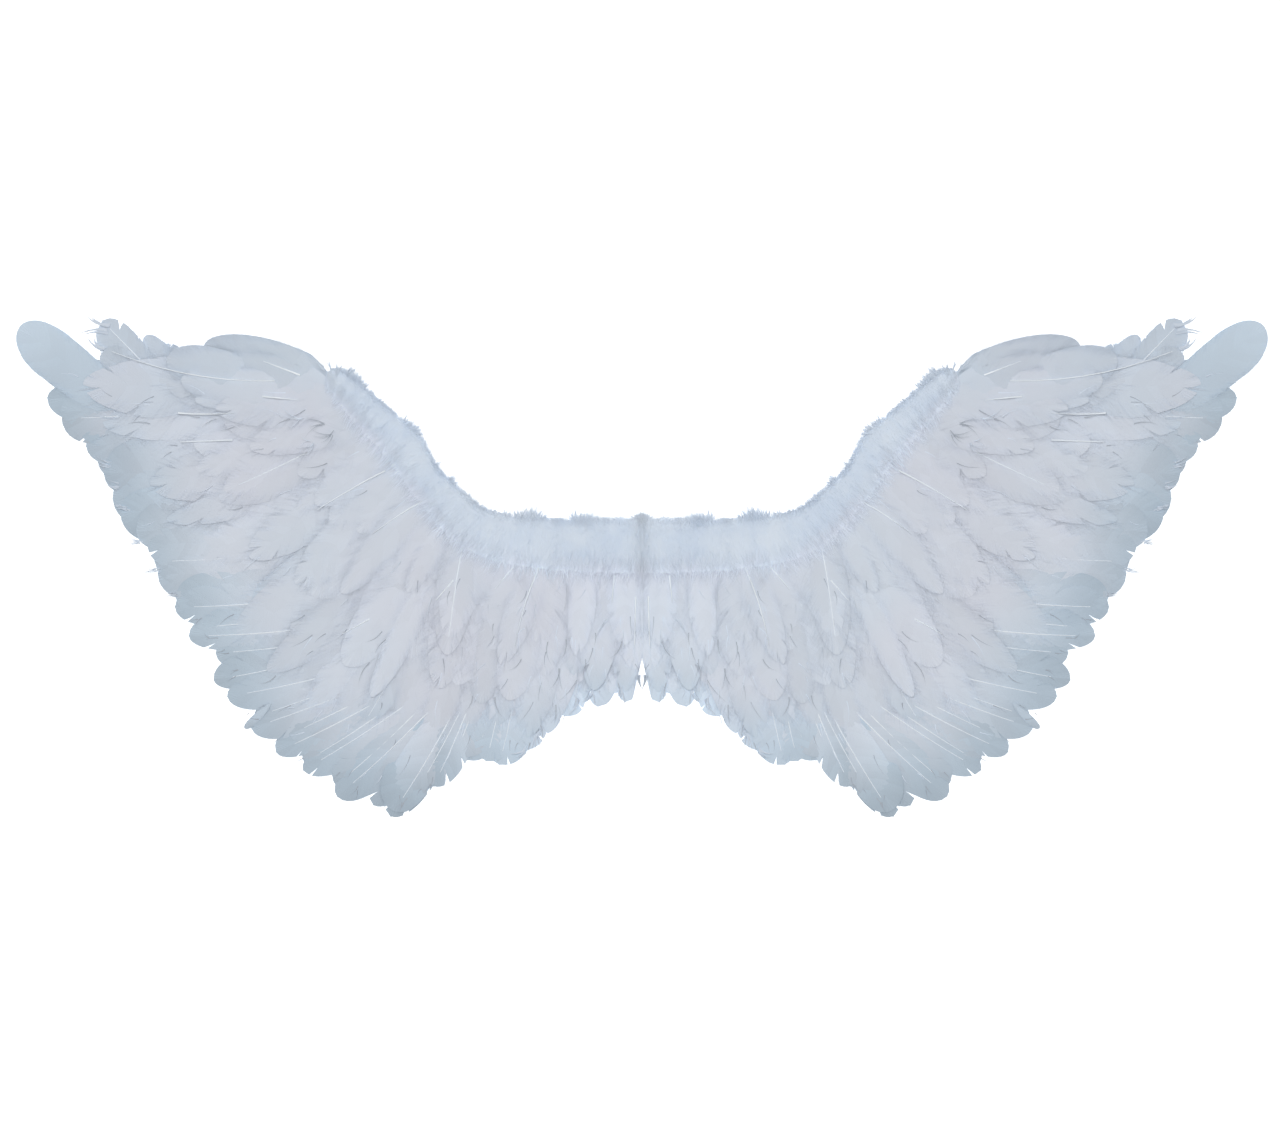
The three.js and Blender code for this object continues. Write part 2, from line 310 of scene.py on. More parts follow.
def on_curve(curve, share):
    """Points and directions at shares of a curve, which goes on straight past its ends."""
    t = np.clip(share, 0, 1)[:, None]
    a, b, c, d = curve
    at = a * (1 - t) ** 3 + 3 * b * t * (1 - t) ** 2 + 3 * c * t**2 * (1 - t) + d * t**3
    slope = 3 * (b - a) * (1 - t) ** 2 + 6 * (c - b) * t * (1 - t) + 3 * (d - c) * t**2
    at = at + slope * (share[:, None] - t)
    return at, slope / np.linalg.norm(slope, axis=1, keepdims=True)


# Meshes

FEATHER_SMOOTH = math.radians(60)
CLOTH_SMOOTH = math.radians(40)


def deselect():
    bpy.ops.object.select_all(action="DESELECT")


def select_where(obj, test):
    """In edit mode, selects the vertices of obj that pass a test of their place."""
    bpy.ops.object.mode_set(mode="OBJECT")
    for v in obj.data.vertices:
        v.select = bool(test(v.co))
    for group in (obj.data.edges, obj.data.polygons):
        for part in group:
            part.select = all(obj.data.vertices[i].select for i in part.vertices)
    bpy.ops.object.mode_set(mode="EDIT")


def shape_of(points, faces):
    """A mesh as its points, the corners of all its faces in one row, and the sizes of the faces."""
    corners = np.array([i for face in faces for i in face])
    return SimpleNamespace(points=points, corners=corners, sizes=np.array([len(face) for face in faces]))


def turn_faces(corners, sizes):
    """The same faces with their corners the other way round."""
    ends = np.cumsum(sizes)
    begins = ends - sizes
    return corners[np.repeat(begins + ends - 1, sizes) - np.arange(len(corners))]


def take_mesh(obj):
    """Points and faces of a modelled pattern, which is then removed."""
    mesh = obj.data
    points = np.array([v.co for v in mesh.vertices])
    faces = [tuple(f.vertices) for f in mesh.polygons]
    bpy.data.objects.remove(obj)
    bpy.data.meshes.remove(mesh)
    return points, faces


def fan_from_raised(points, face):
    """A face with one raised corner, as two from that corner, so that a strip's two sides stay apart."""
    raised = [k for k, i in enumerate(face) if abs(points[i][2]) > 0.01]
    if len(raised) != 1 or len(face) != 4:
        return [face]
    a, b, c, d = face[raised[0] :] + face[: raised[0]]
    return [(a, b, c), (a, c, d)]


def barb_lock(across=2, along=4):
    """One lock of barbs: a thin closed strip, one unit wide and long, that is sharp all round."""
    deselect()
    bpy.ops.mesh.primitive_grid_add(x_subdivisions=across, y_subdivisions=along, size=1, location=(0, 0, 0))
    lock = bpy.context.object
    wall = lock.modifiers.new("wall", "SOLIDIFY")
    wall.thickness = 1
    wall.offset = 0
    bpy.ops.object.modifier_apply(modifier="wall")
    bpy.ops.object.mode_set(mode="EDIT")
    bpy.ops.mesh.select_mode(type="VERT")
    select_where(lock, lambda p: max(abs(p.x), abs(p.y)) > 0.499)
    bpy.ops.transform.resize(value=(1, 1, 0))
    bpy.ops.mesh.remove_doubles(threshold=0.001)
    bpy.ops.mesh.select_all(action="SELECT")
    bpy.ops.mesh.normals_make_consistent(inside=False)
    bpy.ops.transform.translate(value=(0, 0.5, 0))
    bpy.ops.object.mode_set(mode="OBJECT")
    points, faces = take_mesh(lock)
    return shape_of(points, [part for face in faces for part in fan_from_raised(points, face)])


def cone(sides, rings, tip, ends):
    """A cone of unit length and radius that lies along Y, cut into rings so that it can bend."""
    deselect()
    bpy.ops.mesh.primitive_cone_add(
        vertices=sides, radius1=1, radius2=tip, depth=1, end_fill_type=ends, location=(0, 0, 0)
    )
    made = bpy.context.object
    bpy.ops.object.mode_set(mode="EDIT")
    for ring in range(1, rings):
        bpy.ops.mesh.select_all(action="SELECT")
        bpy.ops.mesh.bisect(plane_co=(0, 0, ring / rings - 0.5), plane_no=(0, 0, 1))
    bpy.ops.mesh.select_all(action="SELECT")
    bpy.ops.transform.translate(value=(0, 0, 0.5))
    bpy.ops.transform.rotate(value=math.pi / 2, orient_axis="X", center_override=(0, 0, 0))
    bpy.ops.object.mode_set(mode="OBJECT")
    points, faces = take_mesh(made)
    if points[:, 1].mean() < 0:
        points = points * (1, -1, -1)
    return shape_of(points, faces)


class Heap:
    """Points, faces and their facts, gathered from many copies and made into one mesh."""

    def __init__(self):
        self.points = []
        self.faces = []
        self.sizes = []
        self.looks = []
        self.facts = {}
        self.total = 0

    def add(self, shape, look, **facts):
        count = len(shape.points)
        self.points.append(shape.points)
        self.faces.append(shape.corners + self.total)
        self.sizes.append(shape.sizes)
        self.looks.append(np.broadcast_to(np.asarray(look, np.int32), len(shape.sizes)))
        for name, values in facts.items():
            values = np.broadcast_to(np.asarray(values, np.float32), count)
            self.facts.setdefault(name, []).append(values)
        self.total += count

    def piece(self, name, looks, mirror):
        points = np.concatenate(self.points).astype(np.float32) * MM
        corners = np.concatenate(self.faces).astype(np.int32)
        sizes = np.concatenate(self.sizes).astype(np.int32)
        if mirror:
            points = points * np.array([-1, 1, 1], np.float32)
            corners = turn_faces(corners, sizes)
        mesh = bpy.data.meshes.new(name)
        mesh.vertices.add(len(points))
        mesh.vertices.foreach_set("co", points.ravel())
        mesh.loops.add(len(corners))
        mesh.loops.foreach_set("vertex_index", corners)
        mesh.polygons.add(len(sizes))
        mesh.polygons.foreach_set("loop_start", (np.cumsum(sizes) - sizes).astype(np.int32))
        mesh.polygons.foreach_set("loop_total", sizes)
        mesh.polygons.foreach_set("material_index", np.concatenate(self.looks))
        mesh.update(calc_edges=True)
        for fact, values in self.facts.items():
            mesh.attributes.new(fact, "FLOAT", "POINT").data.foreach_set("value", np.concatenate(values))
        for look in looks:
            mesh.materials.append(look)
        obj = bpy.data.objects.new(name, mesh)
        bpy.context.scene.collection.objects.link(obj)
        deselect()
        obj.select_set(True)
        bpy.context.view_layer.objects.active = obj
        bpy.ops.object.shade_smooth_by_angle(angle=FEATHER_SMOOTH)
        return obj


LOCK = barb_lock()
QUILL_CONE = cone(6, 7, 0.3, "TRIFAN")
HAIR = cone(3, 2, 0, "NGON")
BARB = cone(3, 1, 0, "NGON")
CURL = cone(3, 6, 0, "NGON")

# Feather patterns

# Kinds of feather: locks of barbs on a side, how far the locks stand apart, open splits, locks that
# lift, how soon the splits close at the tip, how blunt the tip is, where it is widest, its width at
# the root, loose barbs, where on the vane they start and how far they reach past its edge, and how
# much wider one side is.
KINDS = table(
    "name seed locks spread splits lifted closes blunt widest base fringe begin stray uneven",
    ("flight", 3, 14, 0.002, 1, 1, 0.01, 2.8, 0.62, 0.45, 40, 0.75, 0.05, 0.16),
    ("flight", 8, 14, 0.003, 2, 2, 0.01, 2.4, 0.60, 0.45, 50, 0.75, 0.06, -0.14),
    ("flight", 14, 13, 0.003, 1, 2, 0.01, 3.2, 0.66, 0.45, 50, 0.75, 0.06, 0.10),
    ("flight", 23, 14, 0.002, 1, 1, 0.01, 2.6, 0.64, 0.45, 40, 0.75, 0.05, -0.20),
    ("flight", 35, 13, 0.003, 2, 2, 0.01, 2.9, 0.62, 0.45, 60, 0.75, 0.07, 0.05),
    ("soft", 31, 7, 0.002, 0, 0, 0.15, 1.7, 0.50, 0.60, 230, 0.55, 0.50, 0.02),
    ("soft", 47, 7, 0.004, 1, 1, 0.15, 2.0, 0.55, 0.60, 230, 0.55, 0.55, -0.12),
    ("soft", 52, 7, 0.003, 0, 0, 0.15, 1.5, 0.48, 0.60, 230, 0.55, 0.60, 0.10),
    ("soft", 61, 7, 0.004, 1, 1, 0.15, 1.8, 0.56, 0.60, 230, 0.55, 0.55, -0.06),
    ("arch", 66, 8, 0.001, 0, 0, 0.15, 1.9, 0.55, 0.60, 800, 0.15, 0.35, 0.04),
    ("arch", 68, 8, 0.001, 0, 0, 0.15, 2.2, 0.60, 0.60, 800, 0.15, 0.35, -0.05),
    ("wispy", 91, 9, 0.014, 2, 1, 0.1, 1.3, 0.45, 0.60, 230, 0.50, 0.55, 0.10),
    ("wispy", 94, 9, 0.018, 3, 1, 0.1, 1.5, 0.50, 0.60, 230, 0.50, 0.60, -0.08),
    ("wispy", 97, 8, 0.016, 2, 2, 0.1, 1.2, 0.42, 0.60, 230, 0.50, 0.65, 0.04),
    ("lobe", 75, 13, 0.003, 0, 1, 0.15, 2.4, 0.64, 0.50, 120, 0.72, 0.10, 0.08),
    ("paddle", 70, 12, 0.006, 0, 0, 0.15, 2.2, 0.66, 0.78, 220, 0.70, 0.16, -0.06),
    ("ragged", 81, 11, 0.030, 5, 4, 0.01, 2.0, 0.66, 0.50, 90, 0.70, 0.45, 0.20),
)
# What else differs by kind: how far loose barbs stand up, how much narrower the locks get towards
# the tip, how far the sides of the vane, its tip and its root come down, how much lighter the tip
# is, how much the locks differ in shade, and how much darker one side of the vane is painted than
# the other, as painted shade of a curved vane.
FORMS = table(
    "name rise crowd dome sink root_sink tip_shade lock_shade side_shade",
    ("flight", 0.6, 1.25, 1.6, 0.0, 0.0, -0.12, 0.07, 0.04),
    ("lobe", 0.6, 1.5, 1.6, 0.0, 0.0, -0.2, 0.04, 0.03),
    ("soft", 1.8, 1.8, 2.4, 5.0, 0.0, 0.0, 0.03, 0.015),
    ("wispy", 1.8, 1.5, 0.8, 4.4, 0.0, 0.0, 0.04, 0.015),
    ("arch", 0.8, 1.7, 3.0, 3.0, 6.0, -0.04, 0.02, 0.0),
    ("paddle", 0.6, 1.5, 2.5, 0.0, 0.0, 0.1, 0.04, 0.03),
    ("ragged", 0.6, 1.0, 1.5, 0.0, 0.0, 0.0, 0.06, 0.03),
)
FORM = {form.name: form for form in FORMS}
VANE_WALL = 0.35
ROOT_OVERLAP = 0.03
LOCK_OVERLAP = 0.16
LOCK_STEP = 10.0
LOCK_RAISED = (0.15, 0.45)
SPLIT_OPEN = 0.055
SPLIT_VARIES = (0.5, 1)
# Where the quill ends, where the edge of the lowest barb lies, how far the last barbs reach, and how
# the barbs curve
RACHIS_END = 0.86
SWEEP_START = 0.18
BARB_END = 1.02
BARB_CURVE = 1.35
QUILL_RADIUS = 0.85
QUILL_RISE = 0.25
QUILL_BARE = 0.1
FRINGE_ALONG = (0.03, 0.99)
FRINGE_BEGIN = (0.9, 1.1)
FRINGE_REACH = (0.1, 1)
FRINGE_SHORT = 1.5
FRINGE_BEND = 0.012
FRINGE_RADIUS = 0.18
FLATNESS = 0.3


def outline(q, kind):
    """Half width of a feather as a share of its widest, at shares of its length."""
    q = np.clip(q, 0, 1)
    base = kind.base + (1 - kind.base) * np.sin(np.clip(q / kind.widest, 0, 1) * math.pi / 2)
    past = np.clip((q - kind.widest) / (1 - kind.widest), 0, 1)
    return np.where(q < kind.widest, base, np.clip(1 - past**kind.blunt, 0, 1) ** 0.5)


class Feather:
    """A pattern of a feather in its own terms: across and along as shares, and offsets in millimetres."""

    def __init__(self, kind, quill):
        self.kind = kind
        self.rng = draws(kind.seed)
        self.gathered = {}
        self.count = 0
        for side in (-1, 1):
            self.add_vane(side)
        if quill:
            self.add_quill()
        self.add_fringe()
        for name, values in self.gathered.items():
            setattr(self, name, np.concatenate(values))

    def store(self, shape, look, turn=False, **facts):
        """Adds a copy of a shape, with facts for each of its points."""
        count = len(shape.points)
        facts = {name: np.broadcast_to(values, count) for name, values in facts.items()}
        corners = turn_faces(shape.corners, shape.sizes) if turn else shape.corners
        facts["corners"] = corners + self.count
        facts["sizes"] = shape.sizes
        facts["looks"] = np.full(len(shape.sizes), look, np.int32)
        for name, values in facts.items():
            self.gathered.setdefault(name, []).append(values)
        self.count += count

    def barb_at(self, b, r, width, shift):
        """Place of a point r along the barb that leaves the quill at b."""
        q = SWEEP_START + (1 - SWEEP_START) * b + shift * r * np.clip((1 - b) / self.kind.closes, 0, 1)
        across = width * outline(q, self.kind) * r
        along = RACHIS_END * b + (np.minimum(q, BARB_END) - RACHIS_END * b) * r**BARB_CURVE
        return across, along

    def add_vane(self, side):
        """The locks of barbs on one side of the quill, some of them split apart or lifted."""
        kind = self.kind
        rng = self.rng
        shift = rng.normal(0, kind.spread, kind.locks)
        raised = np.zeros(kind.locks)
        for _ in range(kind.splits):
            at = rng.integers(kind.locks // 2, kind.locks - 1)
            gap = SPLIT_OPEN * rng.uniform(*SPLIT_VARIES)
            shift[at] -= gap / 2
            shift[at + 1] += gap / 2
        for _ in range(kind.lifted):
            raised[rng.integers(kind.locks // 2, kind.locks - 1)] = rng.uniform(*LOCK_RAISED)
        x, r, z = LOCK.points.T
        x = x * (1 + 2 * LOCK_OVERLAP) + 0.5
        for number in range(kind.locks):
            b = 1 - (1 - np.clip((number + x) / kind.locks, 0, 1)) ** FORM[kind.name].crowd
            width = (1 + side * kind.uneven) * rng.normal(1, kind.spread)
            across, along = self.barb_at(b, r, width, shift[number])
            step = rng.normal(0, kind.spread * LOCK_STEP)
            self.store(
                LOCK, 0, turn=side < 0, across=side * (across - ROOT_OVERLAP), along=along, side=0.0,
                lift=z * VANE_WALL + step * r + raised[number] * r**2, barb=b, reach=r, lock=rng.random(),
            )

    def add_quill(self):
        x, y, z = QUILL_CONE.points.T
        self.store(
            QUILL_CONE, 1, across=0.0, along=-QUILL_BARE + (RACHIS_END + QUILL_BARE) * y,
            side=x * QUILL_RADIUS, lift=z * QUILL_RADIUS + QUILL_RISE, barb=y, reach=0.0, lock=0.0,
        )

    def add_fringe(self):
        """Loose barbs along both edges of the vane."""
        kind = self.kind
        rng = self.rng
        x, y, z = BARB.points.T
        for number in range(kind.fringe):
            side = 1 if number % 2 else -1
            b = rng.uniform(*FRINGE_ALONG)
            begin = kind.begin * rng.uniform(*FRINGE_BEGIN)
            r = begin + (1 - begin + kind.stray * rng.uniform(*FRINGE_REACH) ** FRINGE_SHORT) * y
            across, along = self.barb_at(b, r, 1 + side * kind.uneven, rng.normal(0, FRINGE_BEND))
            along = along + rng.normal(0, FRINGE_BEND) * y
            lift = z * FRINGE_RADIUS * FLATNESS + rng.uniform(0, FORM[kind.name].rise) * y
            self.store(
                BARB, 0, across=side * across, along=along, side=x * FRINGE_RADIUS, lift=lift, barb=b,
                reach=begin + (1 - begin) * y, lock=rng.random(),
            )


FEATHERS = {}
for each_kind in KINDS:
    for with_quill in (True, False):
        FEATHERS.setdefault((each_kind.name, with_quill), []).append(Feather(each_kind, with_quill))

# Laying the feathers

# How far round the vane's arch goes, how much of it the tip loses and from where, and how it varies
DOME_FULL = 0.96
TIP_FLAT = 0.7
TIP_FLAT_FROM = 0.55
DOME_VARIES = (0.6, 1.2)
SINK_ALONG = (0.15, 1.05)
SINK_VARIES = (0.5, 1.15)
ROOT_SINK_UNTIL = 0.35
WAVE_HIGH = 0.4
WAVES = (6, 12)
WAVE_PHASE = (0, 6)
LOWEST = 0.3
BARB_COUNT = 210
LOCK_COOL = 0.05
COOL_VARIES = 0.05
SHADE_VARIES = 0.02
SOFT_WIDTHS = (0.8, 1.3)
UNDER_LOWER = (0.1, 0.7)
# Where the wing's middle ends, what it keeps of the outline's blue, how much lighter it is painted,
# as painted light against the shade of its many narrow crevices, how much closer its rows lie, and
# how blue the top is
MIDDLE_END = 0.5
MIDDLE_COOL = 0.7
MIDDLE_PAINTED_LIGHT = {"flight": 0.23, "soft": 0.08}
MIDDLE_FLAT = 0.45
TOP_COOL = 0.25
TOP_COOL_RIBS = 1.5
COOL_ALONG = (0.58, 1.0)
# The two wings meet at the middle, down to where a notch opens between them
MIDDLE_CROSS = 1.4
MIDDLE_SOFT = 1.6
NOTCH_TOP = -74.0
NOTCH_SLOPE = 0.22
# In the middle most flight feathers are torn, and there and at the top many of the others are wispy
TORN_UNTIL = 1.7
TORN_SHARE = 0.75
# Share of the middle's painted light that the torn feathers get
TORN_PAINTED_LIGHT = 0.9
WISPY_SHARE = 0.97
WISPY_LEAST = 0.15
WISPY_MIDDLE = (1.0, 4.0)
WISPY_TOP = 0.8
WISPY_TOP_RIBS = (9.5, 11.5)
WISPY_WIDE = 1.2


def clear_of_middle(x, y):
    """Squeezes what would cross far into the other wing back to the middle."""
    bound = np.maximum(-MIDDLE_CROSS, NOTCH_SLOPE * (NOTCH_TOP - y))
    past = x - bound
    squeezed = MIDDLE_SOFT * np.exp(np.minimum(past / MIDDLE_SOFT, 1) - 1)
    return bound + np.where(past < MIDDLE_SOFT, squeezed, past)


def lay_feather(heap, rng, kind, curve, start, end, width, middle, roll, turn, fall, cool, shade, quill):
    """Lays one feather along a curve, with its vane arched and its tip bent down."""
    patterns = FEATHERS[kind, bool(quill)]
    pattern = patterns[rng.integers(len(patterns))]
    flip = rng.choice((-1, 1))
    form = FORM[kind]
    # Painted shade: one side of the vane is made darker than the other, for a curved vane turned from the
    # light
    lit = rng.normal(0, form.side_shade)
    share = start + (end - start) * pattern.along
    at, way = on_curve(curve, share)
    out = pattern.across * flip * width / 2 + pattern.side
    spot = at + np.stack([-way[:, 1], way[:, 0]], axis=1) * out[:, None]
    root, _ = on_curve(curve, np.array([start]))
    c, s = math.cos(math.radians(turn)), math.sin(math.radians(turn))
    x, y = (root + (spot - root) @ np.array([[c, s], [-s, c]])).T
    arch = 1 - np.sqrt(1 - DOME_FULL * np.minimum(pattern.reach, 1) ** 2)
    flatter = 1 - TIP_FLAT * smoothstep(pattern.along, TIP_FLAT_FROM, 1)
    dome = rng.uniform(*DOME_VARIES) * form.dome * arch * flatter
    sink = rng.uniform(*SINK_VARIES) * form.sink * smoothstep(pattern.along, *SINK_ALONG)
    waves = np.sin(pattern.barb * rng.uniform(*WAVES) + rng.uniform(*WAVE_PHASE))
    z = middle + pattern.lift + math.sin(math.radians(roll)) * out - dome - sink
    z = z + WAVE_HIGH * waves * pattern.reach**2
    z = z - fall(share) - form.root_sink * (1 - smoothstep(pattern.along, 0, ROOT_SINK_UNTIL))
    corners = pattern.corners if flip > 0 else turn_faces(pattern.corners, pattern.sizes)
    points = np.column_stack([clear_of_middle(x, y), y, np.maximum(z, LOWEST)])
    heap.add(
        SimpleNamespace(points=points, corners=corners, sizes=pattern.sizes),
        pattern.looks,
        cool=np.clip(cool(share) + LOCK_COOL * (pattern.lock - 0.5), 0, 1),
        shade=shade(pattern.along) + form.lock_shade * (pattern.lock - 0.5) + lit * pattern.across,
        barb=pattern.barb * (end - start) * BARB_COUNT,
        reach=pattern.reach,
    )


def droop_at(share):
    """How far a rib has come down at a share of its length, past the felt."""
    return DROOP * np.clip((share - FELT_REACH) / (1 - FELT_REACH), 0, None) ** 2


def shade_from(whole, tip):
    """How much lighter or darker a feather is along its length."""
    return lambda along: whole + tip * smoothstep(along, 0.5, 1)


def outward(place):
    """0 in the middle of the wings, and 1 from a rib past where the feathers have their full width."""
    return smoothstep(place, MIDDLE_END, FULL_WIDTH_RIB + 1)


def cool_from(offset, place):
    """How blue a feather is along its rib: lilac grey near its root and bluer towards the outline."""
    top = TOP_COOL * smoothstep(place, LAST_RIB - TOP_COOL_RIBS, LAST_RIB)
    most = MIDDLE_COOL + (1 - MIDDLE_COOL) * outward(place)
    return lambda share: np.maximum(most * smoothstep(share + offset, *COOL_ALONG), top)


def flights_at(place):
    """What the table of flight feathers says at a place between the ribs."""
    places = [f.place for f in FLIGHTS]
    columns = {name: [getattr(f, name) for f in FLIGHTS] for name in vars(FLIGHTS[0])}
    return SimpleNamespace(**{name: np.interp(place, places, column) for name, column in columns.items()})


def wispy_share(place):
    """Part of the soft feathers that are wispy at a place between the ribs."""
    middle = (WISPY_SHARE - WISPY_LEAST) * (1 - smoothstep(place, *WISPY_MIDDLE))
    return max(WISPY_LEAST + middle, WISPY_TOP * smoothstep(place, *WISPY_TOP_RIBS))


def on_part_of_rib(value, root):
    """A value along a rib, read along a feather that covers the rib's length from root on."""
    return lambda share: value(root + (1 - root) * share)


def lay_row(heap, row, look, rng):
    """Lays a row of feathers side by side across the ribs, with lower ones in between."""
    flight = look.kind == "flight"
    for number in range(0 if flight else 1 - look.each, look.each * (row.count - 1) + 1):
        step = number / look.each
        place = row.first + (LAST_RIB - row.first) * step / (row.count - 1)
        wide = MIDDLE_WIDTH + (1 - MIDDLE_WIDTH) * smoothstep(place, 0, FULL_WIDTH_RIB)
        width = row.width * look.slim * wide * (1 + WOBBLE_WIDTH * wobble(step, 2))
        tip = row.tip * (1 + WOBBLE_LENGTH * wobble(step, 1)) + rng.uniform(-1, 1) * look.scatter
        curve = rib_curve(place)
        start = row.root + QUILL_START - look.under / np.linalg.norm(curve[3] - curve[0])
        turn = WOBBLE_TURN * wobble(step, 3) * min(1, place) + rng.normal(0, look.turn) * min(1, place / 2)
        inward = 1 - smoothstep(place, MIDDLE_END, FULL_WIDTH_RIB)
        middle = row.middle
        if flight:
            here = flights_at(place)
        else:
            varied = rng.uniform(*SOFT_WIDTHS)
            here = SimpleNamespace(reach=1, wide=varied, quills=look.quills, fill=0, dark=1)
            middle = row.middle - MIDDLE_FLAT * inward * (row.middle - ROWS[1].middle)
        tip = (tip + look.long * inward) * here.reach
        width = width * here.wide
        if number % look.each:
            lower = rng.uniform(look.low, look.high)
            lower = lower + (1 - lower) * here.fill
            tip = row.root + (tip - row.root) * lower
            middle = middle - rng.uniform(*UNDER_LOWER)
        kind = look.kind
        # Painted light: the middle of the wing is made lighter, against the shade of its many narrow
        # crevices
        bright = MIDDLE_PAINTED_LIGHT[look.kind] * (1 - outward(place))
        if flight and place < TORN_UNTIL and rng.random() < TORN_SHARE:
            kind = "ragged"
            bright = bright * TORN_PAINTED_LIGHT
        if not flight and (1 + wobble(step, 4)) / 2 < wispy_share(place):
            kind = "wispy"
            width = width * WISPY_WIDE
        cool = cool_from(rng.normal(0, COOL_VARIES), place)
        fall = droop_at
        if flight:
            curve = flight_curve(place, 1 - row.root)
            start = (start - row.root) / (1 - row.root)
            tip = (tip - row.root) / (1 - row.root)
            cool = on_part_of_rib(cool, row.root)
            fall = on_part_of_rib(droop_at, row.root)
        roll = rng.normal(row.roll * look.tilt, look.roll)
        tip_shade = FORM[look.kind].tip_shade * outward(place) * here.dark
        shade = shade_from(rng.normal(0, SHADE_VARIES) + bright, tip_shade)
        quill = rng.random() < here.quills
        lay_feather(
            heap, rng, kind, curve, start, tip, width, middle, roll, turn, fall, cool, shade, quill
        )


def lay_singles(heap, singles, middle, rng):
    for one in singles:
        shade = shade_from(rng.normal(0, SHADE_VARIES), FORM[one.kind].tip_shade)
        lay_feather(
            heap, rng, one.kind, straight_curve(one), 0, 1, one.width, middle, one.roll, 0,
            lambda share, drop=one.fall: drop * share,
            lambda share, value=one.cool: np.full(len(share), value),
            shade, one.quill,
        )


# Strands, loose barbs and bare quills

STRAND_SPIN = 0.4
STRAND_LOWEST = 1.0
# A direction across most strands, from which their sides are found
ASKEW = (0.3, 0.2, 0.93)
QUILL_REST = 3.0
QUILL_STATIONS = 9
BARB_SCATTER = 16
BARB_BENDS = (0.3, 1)
BARB_CLEAR = 0.1
BARB_COOL = 0.3
WISP_ROOTS = 1.2
WISP_FLAT = (1, 1, 0.3)
WISP_LENGTHS = (0.6, 1.1)
WISP_RISE = (0.0, 1.5)
WISP_COOL = 0.4


def strands(rng, root, bend, tip, radius, shape):
    """Bent strands through three points each, as one shape."""
    count = len(root)
    for points in (bend, tip):
        points[:, 0] = np.maximum(points[:, 0], -MIDDLE_CROSS)
        points[:, 2] = np.maximum(points[:, 2], STRAND_LOWEST)
    x, y, z = shape.points.T[:, None, :, None]
    spin = rng.normal(0, STRAND_SPIN, count)[:, None]
    along = tip - root
    along /= np.linalg.norm(along, axis=1, keepdims=True)
    side = np.cross(along, np.array(ASKEW))
    side /= np.linalg.norm(side, axis=1, keepdims=True)
    turned_side = side * np.cos(spin) + np.cross(side, along) * np.sin(spin)
    turned_up = np.cross(turned_side, along)
    points = root[:, None] * ((1 - y) * (1 - 2 * y)) + bend[:, None] * (4 * y * (1 - y))
    points += tip[:, None] * (y * (2 * y - 1))
    points += turned_side[:, None] * x * radius
    points += turned_up[:, None] * z * radius * FLATNESS
    corners = np.arange(count)[:, None] * len(shape.points) + shape.corners
    return SimpleNamespace(
        points=points.reshape(-1, 3), corners=corners.ravel(), sizes=np.tile(shape.sizes, count)
    )


class Surface:
    """The feathers laid so far, asked for how high they reach and which row is on top."""

    def __init__(self, heaps):
        self.heaps = heaps
        points = np.concatenate([part for heap in heaps for part in heap.points])
        owner = np.concatenate([np.full(heap.total, number) for number, heap in enumerate(heaps)])
        order = np.argsort(points[:, 0])
        self.points = points[order]
        self.owner = owner[order]

    def near(self, spot):
        """Numbers of the points around a place."""
        for reach in (QUILL_REST, 4 * QUILL_REST):
            first, last = np.searchsorted(self.points[:, 0], (spot[0] - reach, spot[0] + reach))
            found = first + np.flatnonzero(np.abs(self.points[first:last, 1] - spot[1]) < reach)
            if len(found):
                break
        return found

    def heights(self, spots):
        return np.array([self.points[self.near(spot), 2].max() for spot in spots])

    def top_row(self, spot):
        found = self.near(spot)
        return self.heaps[self.owner[found[self.points[found, 2].argmax()]]]


def lay_quills(surface):
    """Bare quills, each resting along the feathers below it."""
    x, y, z = QUILL_CONE.points.T
    stations = np.linspace(0, 1, QUILL_STATIONS)
    for one in QUILLS:
        root = np.array([one.root_x, one.root_y], float)
        tip = np.array([one.tip_x, one.tip_y], float)
        side = np.array([root[1] - tip[1], tip[0] - root[0]]) / np.linalg.norm(tip - root)
        bowed = 4 * one.bow * stations * (1 - stations)
        line = root + (tip - root) * stations[:, None] + side * bowed[:, None]
        rest = surface.heights(line)
        rest = np.maximum(rest, np.maximum(np.roll(rest, 1), np.roll(rest, -1)))
        rest = np.convolve(np.pad(rest, 1, mode="edge"), np.ones(3) / 3, mode="valid")
        at = np.column_stack([np.interp(y, stations, values) for values in (*line.T, rest)])
        at[:, :2] += side * (x * QUILL_RADIUS)[:, None]
        at[:, 2] += z * QUILL_RADIUS
        laid = SimpleNamespace(points=at, corners=QUILL_CONE.corners, sizes=QUILL_CONE.sizes)
        heap = surface.top_row(line[QUILL_STATIONS // 2])
        heap.add(laid, 1, cool=0.0, shade=0.0, barb=0.0, reach=0.0)


def lay_barb_shadows_and_highlights(surface, rng):
    """Thin barbs laid on the feathers: grey ones as painted shadow, white ones as painted highlight."""
    for kind in BARB_SHADOWS_AND_HIGHLIGHTS:
        for _ in range(kind.count):
            curve = rib_curve(rng.uniform(kind.first, kind.last))
            at, way = on_curve(curve, rng.uniform(kind.near, kind.far, 1))
            half = rng.uniform(kind.shortest, kind.longest) / 2
            toward = np.degrees(np.arctan2(way[0, 0], -way[0, 1])) + rng.normal(0, BARB_SCATTER)
            middle = at + heading(toward) * half
            bend = rng.choice((-1, 1)) * rng.uniform(*BARB_BENDS) * kind.bend
            line = np.concatenate([at, middle, middle + heading(toward + bend) * half])
            spots = np.column_stack([line, surface.heights(line) + BARB_CLEAR])
            laid = strands(rng, spots[0:1], spots[1:2], spots[2:3], kind.radius, CURL)
            heap = surface.top_row(middle[0])
            # A negative shade paints the barb grey as painted shadow, a positive one white as painted
            # highlight
            heap.add(laid, 0, cool=BARB_COOL, shade=kind.shade, barb=0.0, reach=1.0)


